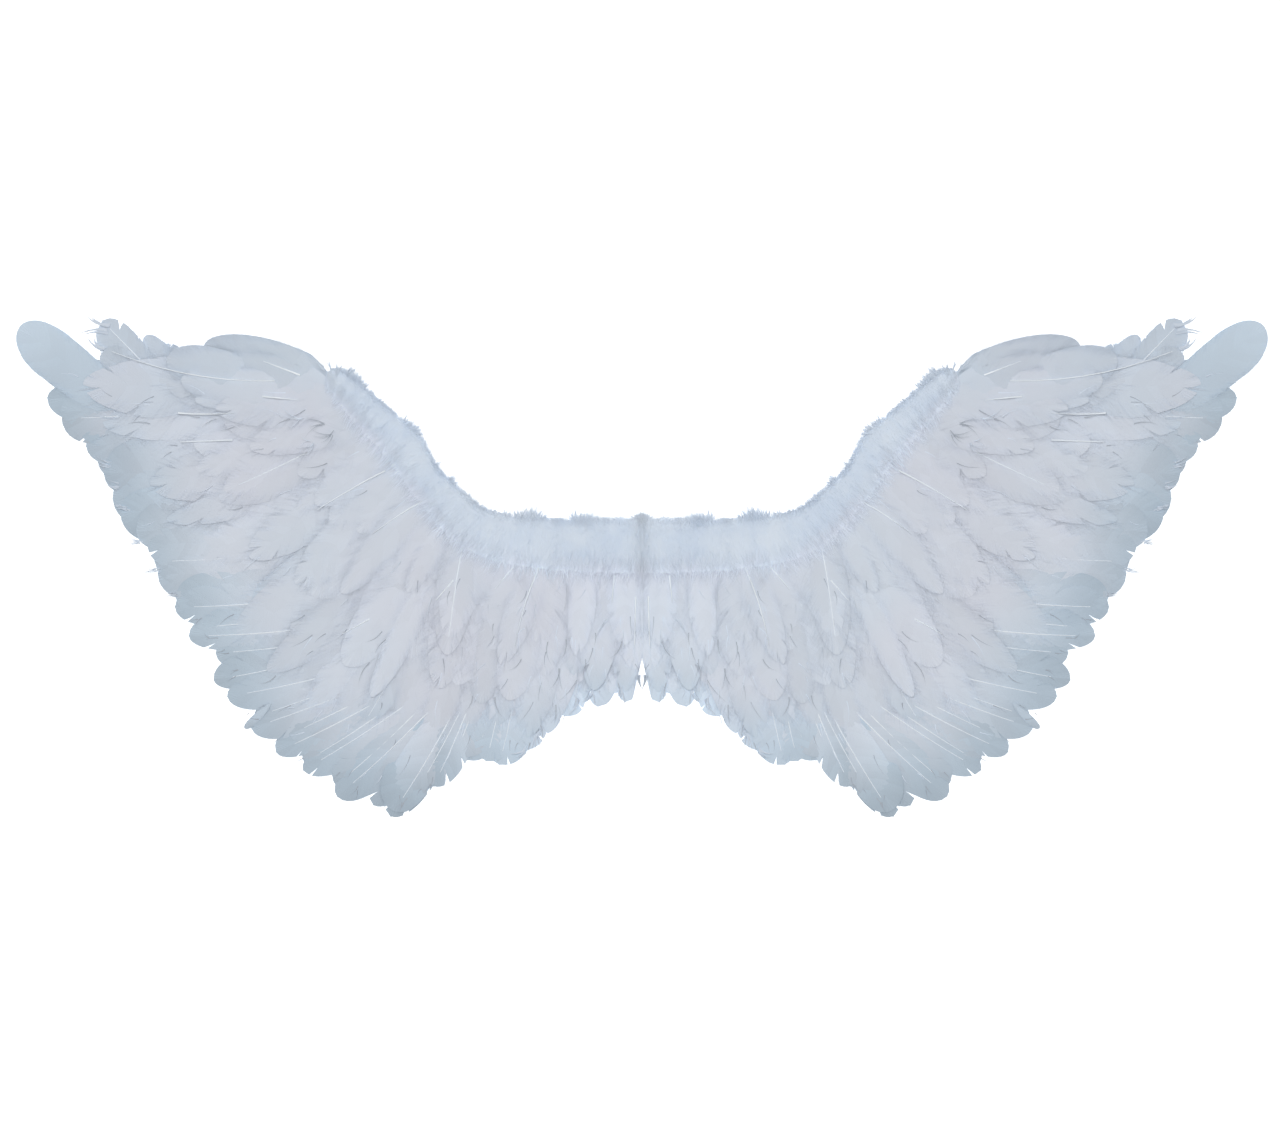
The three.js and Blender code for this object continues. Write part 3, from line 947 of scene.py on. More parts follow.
def lay_wisps(heap, wisps, rng):
    """Bundles of loose barbs, each from about one root, bent to one side."""
    for wisp in wisps:
        root = np.array([wisp.x, wisp.y, wisp.z]) + rng.normal(0, WISP_ROOTS, (wisp.count, 3)) * WISP_FLAT
        ways = wisp.heading + rng.uniform(-1, 1, wisp.count) * wisp.spread
        length = wisp.length * rng.uniform(*WISP_LENGTHS, wisp.count)
        rise = rng.uniform(*WISP_RISE, (wisp.count, 1))
        bend = root + np.column_stack([heading(ways) * length[:, None] / 2, rise])
        tip = bend + np.column_stack([heading(ways + wisp.bend) * length[:, None] / 2, rise / 3])
        laid = strands(rng, root, bend, tip, wisp.radius, CURL)
        heap.add(laid, 0, cool=WISP_COOL, shade=wisp.shade, barb=0.0, reach=1.0)


# Trim

# The core's size in the trim's section, on top and at the outer and the inner edge
CORE_SIZE = 0.92
CORE_EDGE = 0.80
CORE_INNER = 0.87
CORE_SIDES = 32
CORE_STEPS = 110
# Where the core, the strands, the down and the spikes begin, and how far before the count of
# stations they end
CORE_SPAN = (-0.05, 1.02)
STRAND_SPAN = (-0.04, 1.03)
DOWN_SPAN = (-0.03, 1.04)
SPIKE_SPAN = (0, 1.15)
ROOT_DEPTH = 0.03
# Fine strands: how they share out round the section, how they are combed, how far those over the
# feathers reach, and the length of those of the outer edge
STRANDS = 9500
TUFTS = 60
STRAND_RADIUS = 0.2
STRAND_REST = 0.965
STRAND_PARTS = (0, 0.45, 0.65, 1)
STRAND_DEGREES = (-12, 60, 130, 178)
STRAND_PARTING = 25
STRAND_COMB = (12, 42)
STRAND_LAST = 179.5
STRAND_ROUGH = 0.012
STRAND_CURL = 0.15
STRAND_LIGHT = 0.06
INNER_REACH = (0.8, 0.6, 2.2)
TUFT_LEAN = 0.08
STRAND_LEAN = 0.09
TONE_VARIES = 0.02
HAIR_SHORTEST = 1.5
HAIR_LONGEST = 6.0
HAIR_LEAST = 0.5
HAIR_FEW_LONG = 1.8
TUFT_LENGTHS = (0.25, 1.2)
# Short straight down all over the trim
DOWN = 17000
DOWN_PARTING = 0.3
DOWN_COMB = (6, 22)
DOWN_DEGREES = (-4, 179)
DOWN_RISE = (0.02, 0.09)
DOWN_LEAN = 0.06
DOWN_RADIUS = 0.2
# Longer and shorter tufts on the outer edge, in millimetres
LONG_TUFTS = table(
    "place wide extra",
    (0.0, 0.14, 1.5),
    (1.2, 0.3, 6.5),
    (1.85, 0.2, -3.0),
    (2.45, 0.3, 7.0),
    (3.4, 0.3, -2.0),
    (7.3, 0.3, 2.5),
    (9.9, 0.35, 4.5),
)
# Fans of longer spikes along the outer edge: their length in millimetres, and their spread in
# stations of the trim
SPIKE_FANS = 30
HUMP_FANS = (-0.7, 0.0, 0.6)
SPIKES_EACH = 11
SPIKE_LENGTH = (4.5, 10.0)
SPIKE_VARIES = (0.45, 1)
SPIKE_SIDES_SHORTER = 0.4
SPIKE_ROOTS = 0.09
SPIKE_SPLAY = 0.12
SPIKE_STRAY = 0.02
SPIKE_ROOT_DEGREES = (0, 35)
SPIKE_TIP_DEGREES = (-8, 12)
SPIKE_CURL = 0.35
SPIKE_RADIUS = 0.6
SPIKE_DARK = 0.10
# The section: how far out its crest lies, its height over the feathers and on top, and its underside
CREST = 0.35
FLUFF_REST = 20.2
FLUFF_TOP = (27.0, 33.0)
FLUFF_UNDER = 14.5
INNER_SLOPE = 3.0
OUTER_BLEND = 0.35
# Where the trim begins to round off, where it ends, and what is left of its section there
ROUND_FROM = 10.3
ROUND_END = 11.0
ROUND_LEAST = 0.15
# The seam where the trims of the two wings press together, and the painted shade that darkens it
SEAM_DIP = 0.32
SEAM_WIDE = 0.18
SEAM_PAINTED_SHADE = 0.13
# Degrees round the section between which the fluff takes on the colour that it has over the feathers
CORE_OVER = (110, 176)
STRAND_OVER = (115, 170)
# Painted light: how much lighter the fluff is painted there and between which degrees, against the
# shade of its inner slope and of the valley at the feathers, and the same for strands alone, painted
# lighter against the shade they cast on each other
OVER_PAINTED_LIGHT = ((0.07, 80, 140), (0.1, 130, 176))
INNER_PAINTED_LIGHT = (0.07, 115, 165)


def rounded(place):
    """What is left of the trim's section towards its end."""
    past = np.clip((place - ROUND_FROM) / (ROUND_END - ROUND_FROM), 0, 1)
    return np.sqrt(np.maximum(1 - past**2, ROUND_LEAST**2))


def seam(place):
    """1 at the seam in the middle, and 0 away from it."""
    return np.exp(-((place / SEAM_WIDE) ** 2))


def trim_point(place, degrees, size):
    """Points of the trim's section: 0 degrees is its outer edge, 90 its top and 180 its inner edge."""
    size = size * rounded(place)
    at = through(TRIM_LINE, place)
    way = through(TRIM_LINE, place + 0.01) - through(TRIM_LINE, place - 0.01)
    way = way / np.linalg.norm(way, axis=-1, keepdims=True)
    half, inner = through(TRIM_WIDTHS, place).T
    high = np.maximum(TRIM_LEAST, TRIM_HEIGHT * half) / 2
    top = np.clip(TRIM_BOTTOM + 2 * high, *FLUFF_TOP)
    up = np.sin(np.radians(degrees))
    over = np.cos(np.radians(degrees))
    outer = smoothstep(over, -OUTER_BLEND, OUTER_BLEND)
    crest = CREST * half
    outside = crest + np.where(over > 0, half - crest, inner + crest) * size * over
    rest = FLUFF_REST + (TRIM_BOTTOM + high - FLUFF_REST) * outer
    below = FLUFF_UNDER + (high - FLUFF_UNDER) * outer
    dip = 1 - SEAM_DIP * seam(place)
    rise = np.maximum(up, 0) ** (INNER_SLOPE + (1 - INNER_SLOPE) * outer) * (top - rest) * dip
    z = rest + np.where(up > 0, rise, below * up) * size
    return np.column_stack([at[:, 0] - way[:, 1] * outside, at[:, 1] + way[:, 0] * outside, z])


def core_size(degrees):
    """Size of the trim's core round its section: smaller at both edges, which only strands reach."""
    over = np.cos(np.radians(degrees))
    outer = (CORE_EDGE - CORE_SIZE) * smoothstep(over, 0.3, 1)
    inner = (CORE_INNER - CORE_SIZE) * smoothstep(-over, 0.4, 1)
    return CORE_SIZE + outer + inner


def trim_tone(place, degrees):
    """How light the fluff is: painted light over the feathers, and painted shade at the seam."""
    over = sum(much * smoothstep(degrees, low, high) for much, low, high in OVER_PAINTED_LIGHT)
    return 1 + over - SEAM_PAINTED_SHADE * seam(place)


def strand_tone(place, degrees):
    """The same for strands and down, painted still lighter against the shade that strands cast on each
    other.
    """
    much, low, high = INNER_PAINTED_LIGHT
    return trim_tone(place, degrees) + much * smoothstep(degrees, low, high)


def tufted(length, place):
    """A length on the outer edge, with what the longer and shorter tufts add to it."""
    for tuft in LONG_TUFTS:
        length = length + tuft.extra * np.exp(-(((place - tuft.place) / tuft.wide) ** 2))
    return length


def edge_size(length, place):
    """Size in the trim's section of what stands out of the core's outer edge by a length."""
    return CORE_EDGE + length / ((1 - CREST) * through(TRIM_WIDTHS, place)[:, 0])


def add_fluff(heap, laid, shape, tone, inner):
    """Adds strands to the trim, with a tone and a share over the feathers for each of them."""
    each = len(shape.points)
    heap.add(laid, 0, tone=np.repeat(tone, each), inner=np.repeat(inner, each))


def lay_trim_core(heap):
    places = np.linspace(CORE_SPAN[0], len(TRIM) - CORE_SPAN[1], CORE_STEPS)
    places = np.repeat(places, CORE_SIDES)
    degrees = np.tile(np.arange(CORE_SIDES) * 360 / CORE_SIDES, CORE_STEPS)
    lump = 1 + 0.008 * np.sin(places * 9.1 + degrees / 40) + 0.006 * np.sin(places * 17.3 - degrees / 25)
    points = trim_point(places, degrees, core_size(degrees) * lump)
    faces = []
    for step in range(CORE_STEPS - 1):
        for side in range(CORE_SIDES):
            a = step * CORE_SIDES + side
            b = step * CORE_SIDES + (side + 1) % CORE_SIDES
            faces.append((a, b, b + CORE_SIDES, a + CORE_SIDES))
    faces.append(range(CORE_SIDES)[::-1])
    faces.append(range((CORE_STEPS - 1) * CORE_SIDES, CORE_STEPS * CORE_SIDES))
    tone = trim_tone(places, degrees)
    heap.add(shape_of(points, faces), 0, tone=tone, inner=smoothstep(degrees, *CORE_OVER))


def lay_trim_strands(heap, rng):
    """Fine strands, combed from the top of the trim to its two edges and gathered in tufts."""
    last = len(TRIM) - STRAND_SPAN[1]
    place = rng.uniform(STRAND_SPAN[0], last, STRANDS)
    centres = np.sort(rng.uniform(0, last, TUFTS))
    tuft = np.abs(place[:, None] - centres).argmin(axis=1)
    longer = (HAIR_LONGEST - HAIR_SHORTEST) * rng.random(STRANDS) ** HAIR_FEW_LONG
    hair = HAIR_SHORTEST + longer * rng.uniform(*TUFT_LENGTHS, TUFTS)[tuft]
    outer = edge_size(np.maximum(tufted(hair, place), HAIR_LEAST), place)
    lean = rng.normal(0, TUFT_LEAN, TUFTS)[tuft] + rng.normal(0, STRAND_LEAN, STRANDS)
    degrees = np.interp(rng.random(STRANDS), STRAND_PARTS, STRAND_DEGREES)
    comb = np.where(degrees + rng.normal(0, STRAND_PARTING, STRANDS) < 90, -1, 1)
    end = np.minimum(degrees + comb * rng.uniform(*STRAND_COMB, STRANDS), STRAND_LAST)
    edge = np.abs(np.cos(np.radians(end)))
    least, more, few = INNER_REACH
    reach = np.where(end > 90, least + more * rng.random(STRANDS) ** few, outer)
    size = STRAND_REST + (reach - STRAND_REST) * edge**4 + rng.normal(0, STRAND_ROUGH, STRANDS)
    root = trim_point(place, degrees, core_size(degrees) - ROOT_DEPTH)
    bend = trim_point(place + lean / 2, (degrees + end) / 2, (STRAND_REST + size) / 2)
    tip = trim_point(place + lean, end, size)
    bend += rng.normal(0, STRAND_CURL, (STRANDS, 3))
    laid = strands(rng, root, bend, tip, STRAND_RADIUS, HAIR)
    tone = strand_tone(place, degrees) + STRAND_LIGHT * rng.random(STRANDS)
    tone = tone + rng.normal(0, TONE_VARIES, TUFTS)[tuft]
    add_fluff(heap, laid, HAIR, tone, smoothstep(end, *STRAND_OVER))


def lay_trim_down(heap, rng):
    """Short down all over the trim, combed from its crest to its two edges."""
    place = rng.uniform(DOWN_SPAN[0], len(TRIM) - DOWN_SPAN[1], DOWN)
    over = rng.uniform(-1, 1, DOWN)
    degrees = np.degrees(np.arccos(over))
    comb = np.where(over + rng.normal(0, DOWN_PARTING, DOWN) > 0, -1, 1) * rng.uniform(*DOWN_COMB, DOWN)
    end = np.clip(degrees + comb, *DOWN_DEGREES)
    root = trim_point(place, degrees, core_size(degrees) - ROOT_DEPTH)
    leaning = place + rng.normal(0, DOWN_LEAN, DOWN)
    tip = trim_point(leaning, end, core_size(end) + rng.uniform(*DOWN_RISE, DOWN))
    laid = strands(rng, root, (root + tip) / 2, tip, DOWN_RADIUS, BARB)
    tone = strand_tone(place, degrees) + rng.normal(0, TONE_VARIES, DOWN)
    add_fluff(heap, laid, BARB, tone, smoothstep(end, *STRAND_OVER))


def lay_trim_spikes(heap, rng):
    """Longer spikes that stand out of the trim's outer edge, in fans."""
    fans = rng.uniform(SPIKE_SPAN[0], len(TRIM) - SPIKE_SPAN[1], SPIKE_FANS)
    humps = [hump for hump in LONG_TUFTS if hump.extra > 0]
    fans = np.concatenate([fans, [hump.place + shift * hump.wide for hump in humps for shift in HUMP_FANS]])
    count = len(fans) * SPIKES_EACH
    centre = np.repeat(fans, SPIKES_EACH)
    fan = rng.uniform(-1, 1, count)
    length = tufted(np.repeat(rng.uniform(*SPIKE_LENGTH, len(fans)), SPIKES_EACH), centre)
    length = length * (1 - SPIKE_SIDES_SHORTER * fan**2) * rng.uniform(*SPIKE_VARIES, count)
    place = centre + fan * SPIKE_ROOTS
    root = trim_point(place, rng.uniform(*SPIKE_ROOT_DEGREES, count), np.full(count, CORE_EDGE))
    ending = place + fan * SPIKE_SPLAY + rng.normal(0, SPIKE_STRAY, count)
    tip = trim_point(ending, rng.uniform(*SPIKE_TIP_DEGREES, count), edge_size(length, place))
    bend = (root + tip) / 2 + rng.normal(0, SPIKE_CURL, (count, 3))
    laid = strands(rng, root, bend, tip, SPIKE_RADIUS, HAIR)
    add_fluff(heap, laid, HAIR, 1 - SPIKE_DARK * rng.random(count), np.zeros(count))


# Felt and straps

FELT_THICK = 2.5
FELT_BOTTOM = 1.8
FELT_UNDER_TRIM = 0.55
FELT_UNEVEN = 0.7
FELT_COLUMNS = 120
FELT_ROWS = 12
FELT_ROUNDING = 0.5
STRAP_WIDE = 15.0
STRAP_CLOTH = 1.1
STRAP_MIDDLE = 0.75
STRAP_BEND = 43.5
STRAP_LEG = 85.0
STRAP_ARC = math.pi * STRAP_BEND
STRAP_LENGTH = 2 * STRAP_LEG + STRAP_ARC
STRAP_START = (45.0, -24.0)
STRAP_COLUMNS = 72
STRAP_RIBS = 7
STRAP_PICKS = 280
STRAP_RELIEF = 0.12
STRAP_ROUNDING = 0.3
STITCH_LENGTH = 2.6
STITCH_RADIUS = 0.3
STITCH_FLAT = 0.7
STITCH_ROWS = 2
STITCHES = 5
STITCH_STEP = 2.6
STITCH_INSET = 4.0
ROUNDED_EDGES = math.radians(50)


def felt_edges(place):
    """Both edges of the felt at a place between the ribs: under the trim, and under the feathers."""
    curve = rib_curve(place)
    out = through(TRIM_LINE, place * (len(TRIM) - 1) / LAST_RIB) - curve[0]
    lower, _ = on_curve(curve, np.array([FELT_REACH]))
    return curve[0] + 2 * FELT_UNDER_TRIM * out, lower[0]


def grid_sheet(name, columns, rows, place):
    """A sheet of squares whose points are put where place says, for along and across from -1 to 1."""
    deselect()
    bpy.ops.mesh.primitive_grid_add(x_subdivisions=columns, y_subdivisions=rows, size=2, location=(0, 0, 0))
    sheet = bpy.context.object
    sheet.name = name
    sheet.data.name = name
    for v in sheet.data.vertices:
        v.co = Vector(place(v.co.x, v.co.y)) * MM
    return sheet


def thicken(sheet, thick, rounding):
    """Gives a sheet its thickness, with rounded edges."""
    wall = sheet.modifiers.new("wall", "SOLIDIFY")
    wall.thickness = thick * MM
    wall.offset = 0
    edge = sheet.modifiers.new("edge", "BEVEL")
    edge.width = rounding * MM
    edge.segments = 2
    edge.limit_method = "ANGLE"
    edge.angle_limit = ROUNDED_EDGES
    for name in ("wall", "edge"):
        bpy.ops.object.modifier_apply(modifier=name)
    bpy.ops.object.shade_smooth_by_angle(angle=CLOTH_SMOOTH)


def felt_point(along, across):
    """A point of the felt, whose edges are cut a little unevenly."""
    place = along * LAST_RIB
    upper, lower = felt_edges(abs(place))
    down = (lower - upper) / np.linalg.norm(lower - upper)
    cut = FELT_UNEVEN * math.sin(place * 7.3) * math.sin(place * 3.1 + across) * abs(across) ** 6
    x, y = upper + (lower - upper) * (1 - across) / 2 + down * cut
    return (math.copysign(x, place) if place else 0, y, FELT_BOTTOM + FELT_THICK / 2)


def make_felt(straps):
    """The felt that carries the feathers of both wings: one cut panel, stiff enough to lie flat."""
    felt = grid_sheet("backing_felt", FELT_COLUMNS, FELT_ROWS, felt_point)
    thicken(felt, FELT_THICK, FELT_ROUNDING)
    felt.data.materials.append(felt_material())
    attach(felt, "root")
    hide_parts("backing")


def strap_line(distance):
    """A point of the strap's centre line and its direction, at a distance from its lower end."""
    x, y = STRAP_START
    if distance < STRAP_LEG:
        return (x + distance, y - STRAP_BEND), (1, 0)
    if distance > STRAP_LEG + STRAP_ARC:
        return (x + 2 * STRAP_LEG + STRAP_ARC - distance, y + STRAP_BEND), (-1, 0)
    turn = (distance - STRAP_LEG) / STRAP_BEND
    c, s = math.cos(turn), math.sin(turn)
    return (x + STRAP_LEG + STRAP_BEND * s, y - STRAP_BEND * c), (c, s)


def strap_point(along, across):
    at, way = strap_line((along + 1) / 2 * STRAP_LENGTH)
    out = across * STRAP_WIDE / 2
    relief = STRAP_RELIEF * math.cos(math.pi * STRAP_RIBS * (across + 1))
    return (at[0] - way[1] * out, at[1] + way[0] * out, STRAP_MIDDLE + relief)


def stitch_pattern():
    """One stitch of thread: a bar along X with rounded ends, pulled flat."""
    deselect()
    bpy.ops.mesh.primitive_cylinder_add(
        vertices=6, radius=STITCH_RADIUS, depth=STITCH_LENGTH, end_fill_type="NGON", location=(0, 0, 0)
    )
    stitch = bpy.context.object
    bpy.ops.object.mode_set(mode="EDIT")
    bpy.ops.mesh.select_all(action="SELECT")
    bpy.ops.transform.rotate(value=math.pi / 2, orient_axis="Y", center_override=(0, 0, 0))
    bpy.ops.transform.resize(value=(1, 1, STITCH_FLAT), center_override=(0, 0, 0))
    bpy.ops.object.mode_set(mode="OBJECT")
    ends = stitch.modifiers.new("ends", "BEVEL")
    ends.width = STITCH_RADIUS * 0.5
    ends.segments = 1
    bpy.ops.object.modifier_apply(modifier="ends")
    return take_mesh(stitch)


def sew_ends(heap):
    """Rows of stitches across both ends of a strap, through to its underside."""
    points, faces = stitch_pattern()
    turned = points[:, [1, 0, 2]] * (1, -1, 1)
    x, y = STRAP_START
    low = STRAP_MIDDLE - STRAP_CLOTH / 2
    for leg in (-1, 1):
        for row in range(STITCH_ROWS):
            for number in range(STITCHES):
                across = (number - (STITCHES - 1) / 2) * STITCH_STEP
                spot = (x + STITCH_INSET + row * STITCH_STEP, y + leg * STRAP_BEND + across, low)
                heap.add(shape_of(turned + spot, faces), 0)


def mirrored_copy(piece, name):
    """A copy of a piece of the right wing for the left wing, with its own mesh."""
    deselect()
    piece.select_set(True)
    bpy.context.view_layer.objects.active = piece
    bpy.ops.object.duplicate(linked=False)
    copy = bpy.context.object
    copy.name = name
    copy.data.name = name
    bpy.ops.object.mode_set(mode="EDIT")
    bpy.ops.mesh.select_all(action="SELECT")
    bpy.ops.transform.resize(value=(-1, 1, 1), center_override=(0, 0, 0))
    bpy.ops.mesh.flip_normals()
    bpy.ops.object.mode_set(mode="OBJECT")
    return copy


def make_straps():
    """Both shoulder straps: a ribbed band laid in a loop, with its ends sewn."""
    right = grid_sheet("right_shoulder_strap_band", STRAP_COLUMNS, 2 * STRAP_RIBS, strap_point)
    thicken(right, STRAP_CLOTH, STRAP_ROUNDING)
    right.data.materials.append(elastic_material())
    left = mirrored_copy(right, "left_shoulder_strap_band")
    stitches = Heap()
    sew_ends(stitches)
    for side, band in (("left", left), ("right", right)):
        sewn = stitches.piece(f"{side}_strap_stitches", (QUILL,), side == "left")
        for piece in (band, sewn):
            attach(piece, "root")
        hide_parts(f"{side}_shoulder_strap")
    return [left, right]


# Materials


def feed(tree, socket, value):
    """Links an output to a socket, or sets the socket's value."""
    if hasattr(value, "is_output"):
        tree.links.new(value, socket)
    else:
        socket.default_value = value


def node(tree, kind, **inputs):
    """A new shader node with its inputs linked or set. Their names have _ for a space."""
    made = tree.nodes.new(kind)
    for name, value in inputs.items():
        feed(tree, made.inputs[name.replace("_", " ")], value)
    return made


def attribute(tree, name):
    made = tree.nodes.new("ShaderNodeAttribute")
    made.attribute_name = name
    return made.outputs["Fac"]


def maths(tree, operation, *values):
    made = tree.nodes.new("ShaderNodeMath")
    made.operation = operation
    for socket, value in zip(made.inputs, values):
        feed(tree, socket, value)
    return made.outputs[0]


def mix_colours(tree, factor, first, second, blend="MIX"):
    made = tree.nodes.new("ShaderNodeMix")
    made.data_type = "RGBA"
    made.blend_type = blend
    for socket, value in (("Factor", factor), (6, first), (7, second)):
        feed(tree, made.inputs[socket], value)
    return made.outputs[2]


def shaded(tree, colour, value):
    """A colour made lighter or darker by a value."""
    grey = node(tree, "ShaderNodeCombineColor", Red=value, Green=value, Blue=value)
    return mix_colours(tree, 1.0, colour, grey.outputs["Color"], "MULTIPLY")


def place_noise(tree, scale, detail):
    """Noise over the object's own space."""
    place = tree.nodes.new("ShaderNodeTexCoord")
    made = node(tree, "ShaderNodeTexNoise", Vector=place.outputs["Object"], Scale=scale, Detail=detail)
    return made.outputs["Fac"]


def patches_group():
    """Soft patches of colour between two tints, as light and dye vary over white feathers."""
    tree = bpy.data.node_groups.new("soft_patches", "ShaderNodeTree")
    for name, kind in (("First", "Color"), ("Second", "Color"), ("Scale", "Float")):
        tree.interface.new_socket(name, in_out="INPUT", socket_type="NodeSocket" + kind)
    tree.interface.new_socket("Color", in_out="OUTPUT", socket_type="NodeSocketColor")
    given = tree.nodes.new("NodeGroupInput").outputs
    noise = place_noise(tree, given["Scale"], 3)
    ramp = node(tree, "ShaderNodeMapRange", Value=noise, From_Min=0.35, From_Max=0.65)
    colour = mix_colours(tree, ramp.outputs["Result"], given["First"], given["Second"])
    node(tree, "NodeGroupOutput", Color=colour)
    return tree


PATCHES = patches_group()


def patches(tree, first, second, scale):
    """The group of patches between two tints."""
    made = tree.nodes.new("ShaderNodeGroup")
    made.node_tree = PATCHES
    for name, value in (("First", (*first, 1)), ("Second", (*second, 1)), ("Scale", scale)):
        feed(tree, made.inputs[name], value)
    return made.outputs["Color"]


def material(name, roughness, sheen=0.0, specular=0.3):
    """A new material with its node tree and its shader."""
    made = bpy.data.materials.new(name)
    made.use_nodes = True
    shader = made.node_tree.nodes["Principled BSDF"]
    shader.inputs["Roughness"].default_value = roughness
    shader.inputs["Sheen Weight"].default_value = sheen
    shader.inputs["Sheen Roughness"].default_value = 0.6
    shader.inputs["Specular IOR Level"].default_value = specular
    return made, made.node_tree, shader


def add_bump(tree, shader, height, strength, distance):
    bump = node(tree, "ShaderNodeBump", Height=height, Strength=strength, Distance=distance)
    feed(tree, shader.inputs["Normal"], bump.outputs["Normal"])


def feather_material():
    """Vanes: lilac grey to blue, with fine stripes along the barbs, painted darker between them as painted
    shade.
    """
    made, tree, shader = material("feather_vane", 0.72, sheen=0.25)
    middle = patches(tree, (0.725, 0.755, 0.835), (0.705, 0.765, 0.85), 9.0)
    outer = patches(tree, (0.54, 0.655, 0.77), (0.59, 0.705, 0.81), 7.0)
    colour = mix_colours(tree, attribute(tree, "cool"), middle, outer)
    stripe = maths(tree, "SINE", maths(tree, "MULTIPLY", attribute(tree, "barb"), 6.0))
    shade = maths(tree, "ADD", attribute(tree, "shade"), 1.0)
    # Painted shade: the colour darkens where the barb stripe is low, the same stripe that sets the bump
    striped = shaded(tree, colour, maths(tree, "MULTIPLY_ADD", stripe, 0.024, shade))
    feed(tree, shader.inputs["Base Color"], striped)
    add_bump(tree, shader, stripe, 0.25, 0.0004)
    return made


def quill_material():
    made, tree, shader = material("feather_quill", 0.32, specular=0.5)
    colour = patches(tree, (0.865, 0.93, 1.0), (0.895, 0.95, 1.0), 30.0)
    feed(tree, shader.inputs["Base Color"], colour)
    return made


def fluff_material():
    made, tree, shader = material("marabou_fluff", 0.9, sheen=0.4, specular=0.1)
    outer = patches(tree, (0.68, 0.765, 0.875), (0.735, 0.805, 0.89), 32.0)
    over_feathers = patches(tree, (0.715, 0.755, 0.835), (0.70, 0.765, 0.85), 32.0)
    colour = mix_colours(tree, attribute(tree, "inner"), outer, over_feathers)
    feed(tree, shader.inputs["Base Color"], shaded(tree, colour, attribute(tree, "tone")))
    return made


def felt_material():
    made, tree, shader = material("stiff_felt", 0.95, sheen=0.3, specular=0.1)
    noise = place_noise(tree, 900, 4)
    fibres = patches(tree, (0.80, 0.82, 0.85), (0.76, 0.79, 0.83), 25.0)
    # Painted shade: the colour darkens where the fibre noise is low, the same noise that sets the bump
    colour = mix_colours(tree, noise, (0.68, 0.71, 0.75, 1), fibres)
    feed(tree, shader.inputs["Base Color"], colour)
    add_bump(tree, shader, noise, 0.5, 0.0005)
    return made


def elastic_material():
    """Woven elastic: fine picks of thread across the strap, over its lengthwise ribs."""
    made, tree, shader = material("woven_elastic", 0.8, sheen=0.2, specular=0.2)
    place = tree.nodes.new("ShaderNodeTexCoord")
    split = node(tree, "ShaderNodeSeparateXYZ", Vector=place.outputs["UV"]).outputs
    picks = maths(tree, "SINE", maths(tree, "MULTIPLY", split["X"], 2 * math.pi * STRAP_PICKS))
    ribs = maths(tree, "COSINE", maths(tree, "MULTIPLY", split["Y"], 2 * math.pi * STRAP_RIBS))
    weave = maths(tree, "MULTIPLY_ADD", picks, 0.3, maths(tree, "MULTIPLY_ADD", ribs, 0.2, 0.5))
    thread = patches(tree, (0.84, 0.85, 0.86), (0.80, 0.82, 0.84), 60.0)
    # Painted shade: the colour darkens in the grooves between picks and ribs, where the weave's bump is low
    feed(tree, shader.inputs["Base Color"], mix_colours(tree, weave, (0.70, 0.72, 0.74, 1), thread))
    add_bump(tree, shader, weave, 0.6, 0.0004)
    return made


VANE = feather_material()
QUILL = quill_material()
FLUFF = fluff_material()

# Both wings

ROW_DRAWS = 100
WRIST_DRAWS = 200
STRAND_DRAWS = 300
BARB_DRAWS = 400
SPIKE_DRAWS = 500
DOWN_DRAWS = 600


def finish_piece(heap, side, part, looks, suffix):
    name = f"{side}_{part}"
    obj = heap.piece(f"{name}_{suffix}", looks, side == "left")
    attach(obj, "root")
    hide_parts(name)


def build_wings():
    """Both wings. The left one is the mirror image of the right one, with meshes of its own."""
    heaps = {row.name: Heap() for row in ROWS}
    for number, (row, look) in enumerate(zip(ROWS, LOOKS)):
        heap = heaps[row.name]
        rng = draws(ROW_DRAWS + number)
        lay_row(heap, row, look, rng)
        if row.name == "flight_feathers":
            lay_singles(heap, OUTLINE, row.middle, rng)
            lay_wisps(heap, FLIGHT_WISPS, rng)
        if row.name == "coverts":
            lay_wisps(heap, COVERT_WISPS, rng)
    heaps["wrist_feathers"] = Heap()
    lay_singles(heaps["wrist_feathers"], WRIST, WRIST_MIDDLE, draws(WRIST_DRAWS))
    surface = Surface(list(heaps.values()))
    lay_quills(surface)
    lay_barb_shadows_and_highlights(surface, draws(BARB_DRAWS))
    trim = Heap()
    lay_trim_core(trim)
    lay_trim_strands(trim, draws(STRAND_DRAWS))
    lay_trim_spikes(trim, draws(SPIKE_DRAWS))
    lay_trim_down(trim, draws(DOWN_DRAWS))
    for side in ("left", "right"):
        for name, heap in heaps.items():
            finish_piece(heap, side, name, (VANE, QUILL), "vanes")
        finish_piece(trim, side, "trim", (FLUFF,), "down")


build_wings()
make_felt(make_straps())

# Floor, light and camera

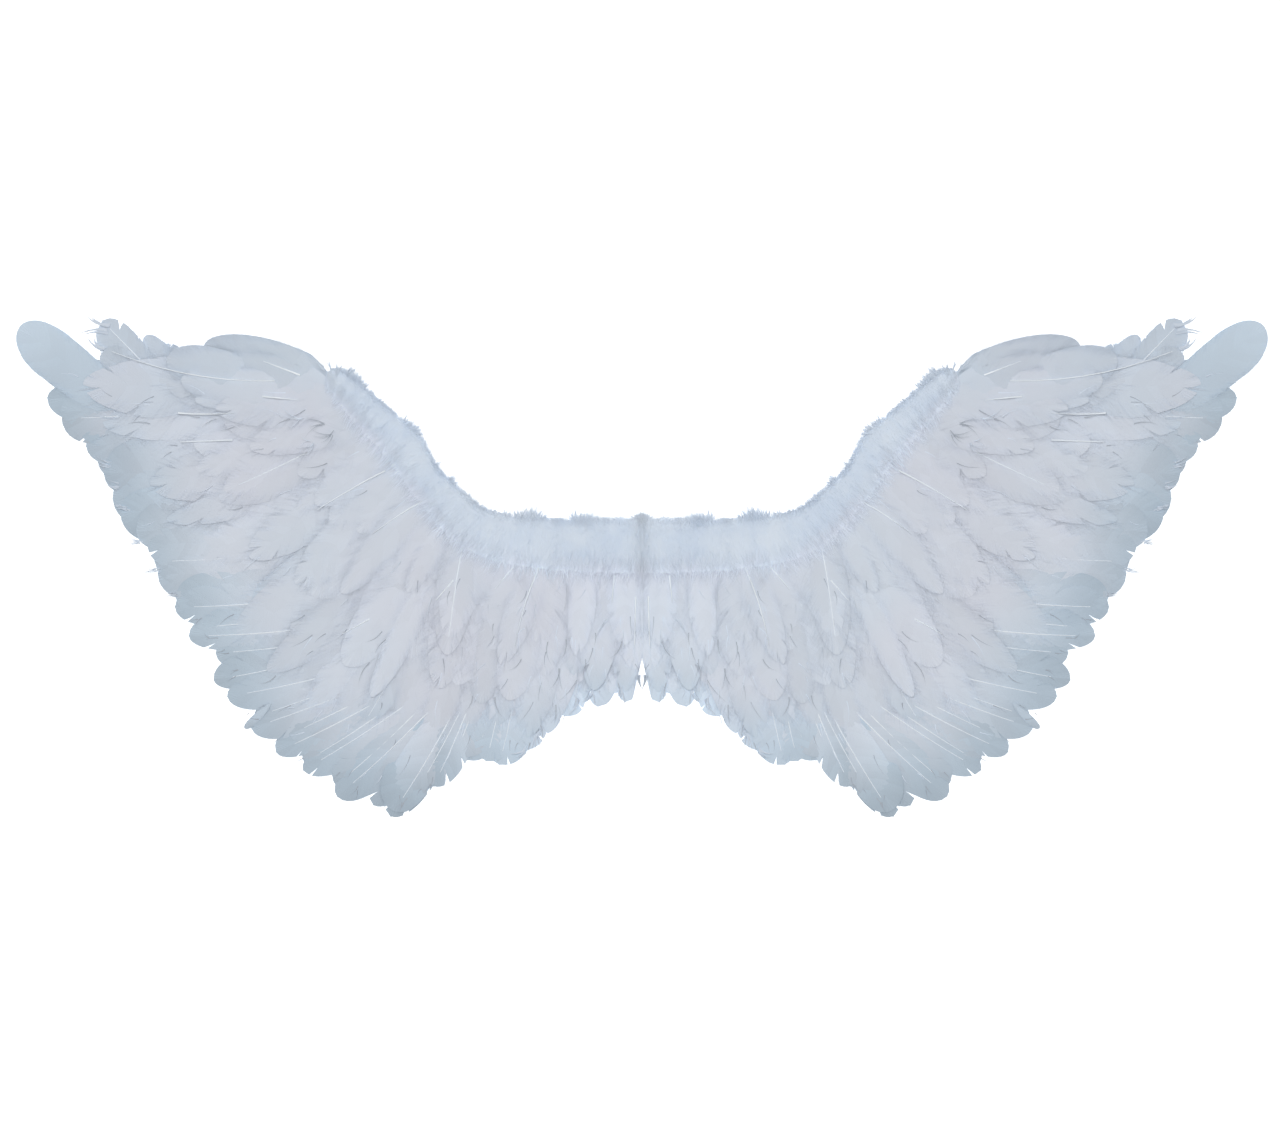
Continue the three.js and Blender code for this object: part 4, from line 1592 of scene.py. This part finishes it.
FLOOR_SIZE = 60.0
FLOOR_TOP = -0.0005
FLOOR_GREY = 0.93
FLOOR_GLOW = 0.6
SKY_STRENGTH = 0.28
LIGHTS = table(
    "name place size power",
    ("key", (-0.15, 0.35, 2.6), 0.8, 38.0),
    ("fill", (1.4, -0.6, 2.6), 2.0, 6.0),
)
FIELD_WIDTH = 1.0191
FIELD_HEIGHT = 0.015
CAMERA_LENS = 100.0
CAMERA_SENSOR = 36.0
CAMERA_REACH = 100
CAMERA_PLACE = (-0.0016, 0.0016)


def make_floor():
    deselect()
    bpy.ops.mesh.primitive_plane_add(size=FLOOR_SIZE, location=(0, 0, FLOOR_TOP))
    floor = bpy.context.object
    floor.name = "floor"
    made, _, shader = material("pale_floor", 0.9, specular=0.0)
    shader.inputs["Base Color"].default_value = (FLOOR_GREY, FLOOR_GREY, FLOOR_GREY, 1)
    shader.inputs["Emission Color"].default_value = (1, 1, 1, 1)
    shader.inputs["Emission Strength"].default_value = FLOOR_GLOW
    floor.data.materials.append(made)


def make_light():
    world = bpy.data.worlds.new("studio")
    bpy.context.scene.world = world
    world.use_nodes = True
    sky = world.node_tree.nodes["Background"].inputs
    sky["Color"].default_value = (1, 1, 1, 1)
    sky["Strength"].default_value = SKY_STRENGTH
    for light in LIGHTS:
        lamp = bpy.data.lights.new(light.name, "AREA")
        lamp.size = light.size
        lamp.energy = light.power
        obj = bpy.data.objects.new(light.name, lamp)
        obj.location = light.place
        obj.rotation_euler = (-Vector(light.place)).to_track_quat("-Z", "Y").to_euler()
        bpy.context.scene.collection.objects.link(obj)


def make_camera():
    lens = bpy.data.cameras.new("camera")
    lens.lens = CAMERA_LENS
    lens.sensor_width = CAMERA_SENSOR
    lens.clip_end = CAMERA_REACH
    camera = bpy.data.objects.new("camera", lens)
    bpy.context.scene.collection.objects.link(camera)
    distance = FIELD_WIDTH * CAMERA_LENS / CAMERA_SENSOR
    camera.location = (*CAMERA_PLACE, distance + FIELD_HEIGHT)
    bpy.context.scene.camera = camera
    bpy.context.scene.view_settings.view_transform = "Standard"


make_floor()
make_light()
make_camera()
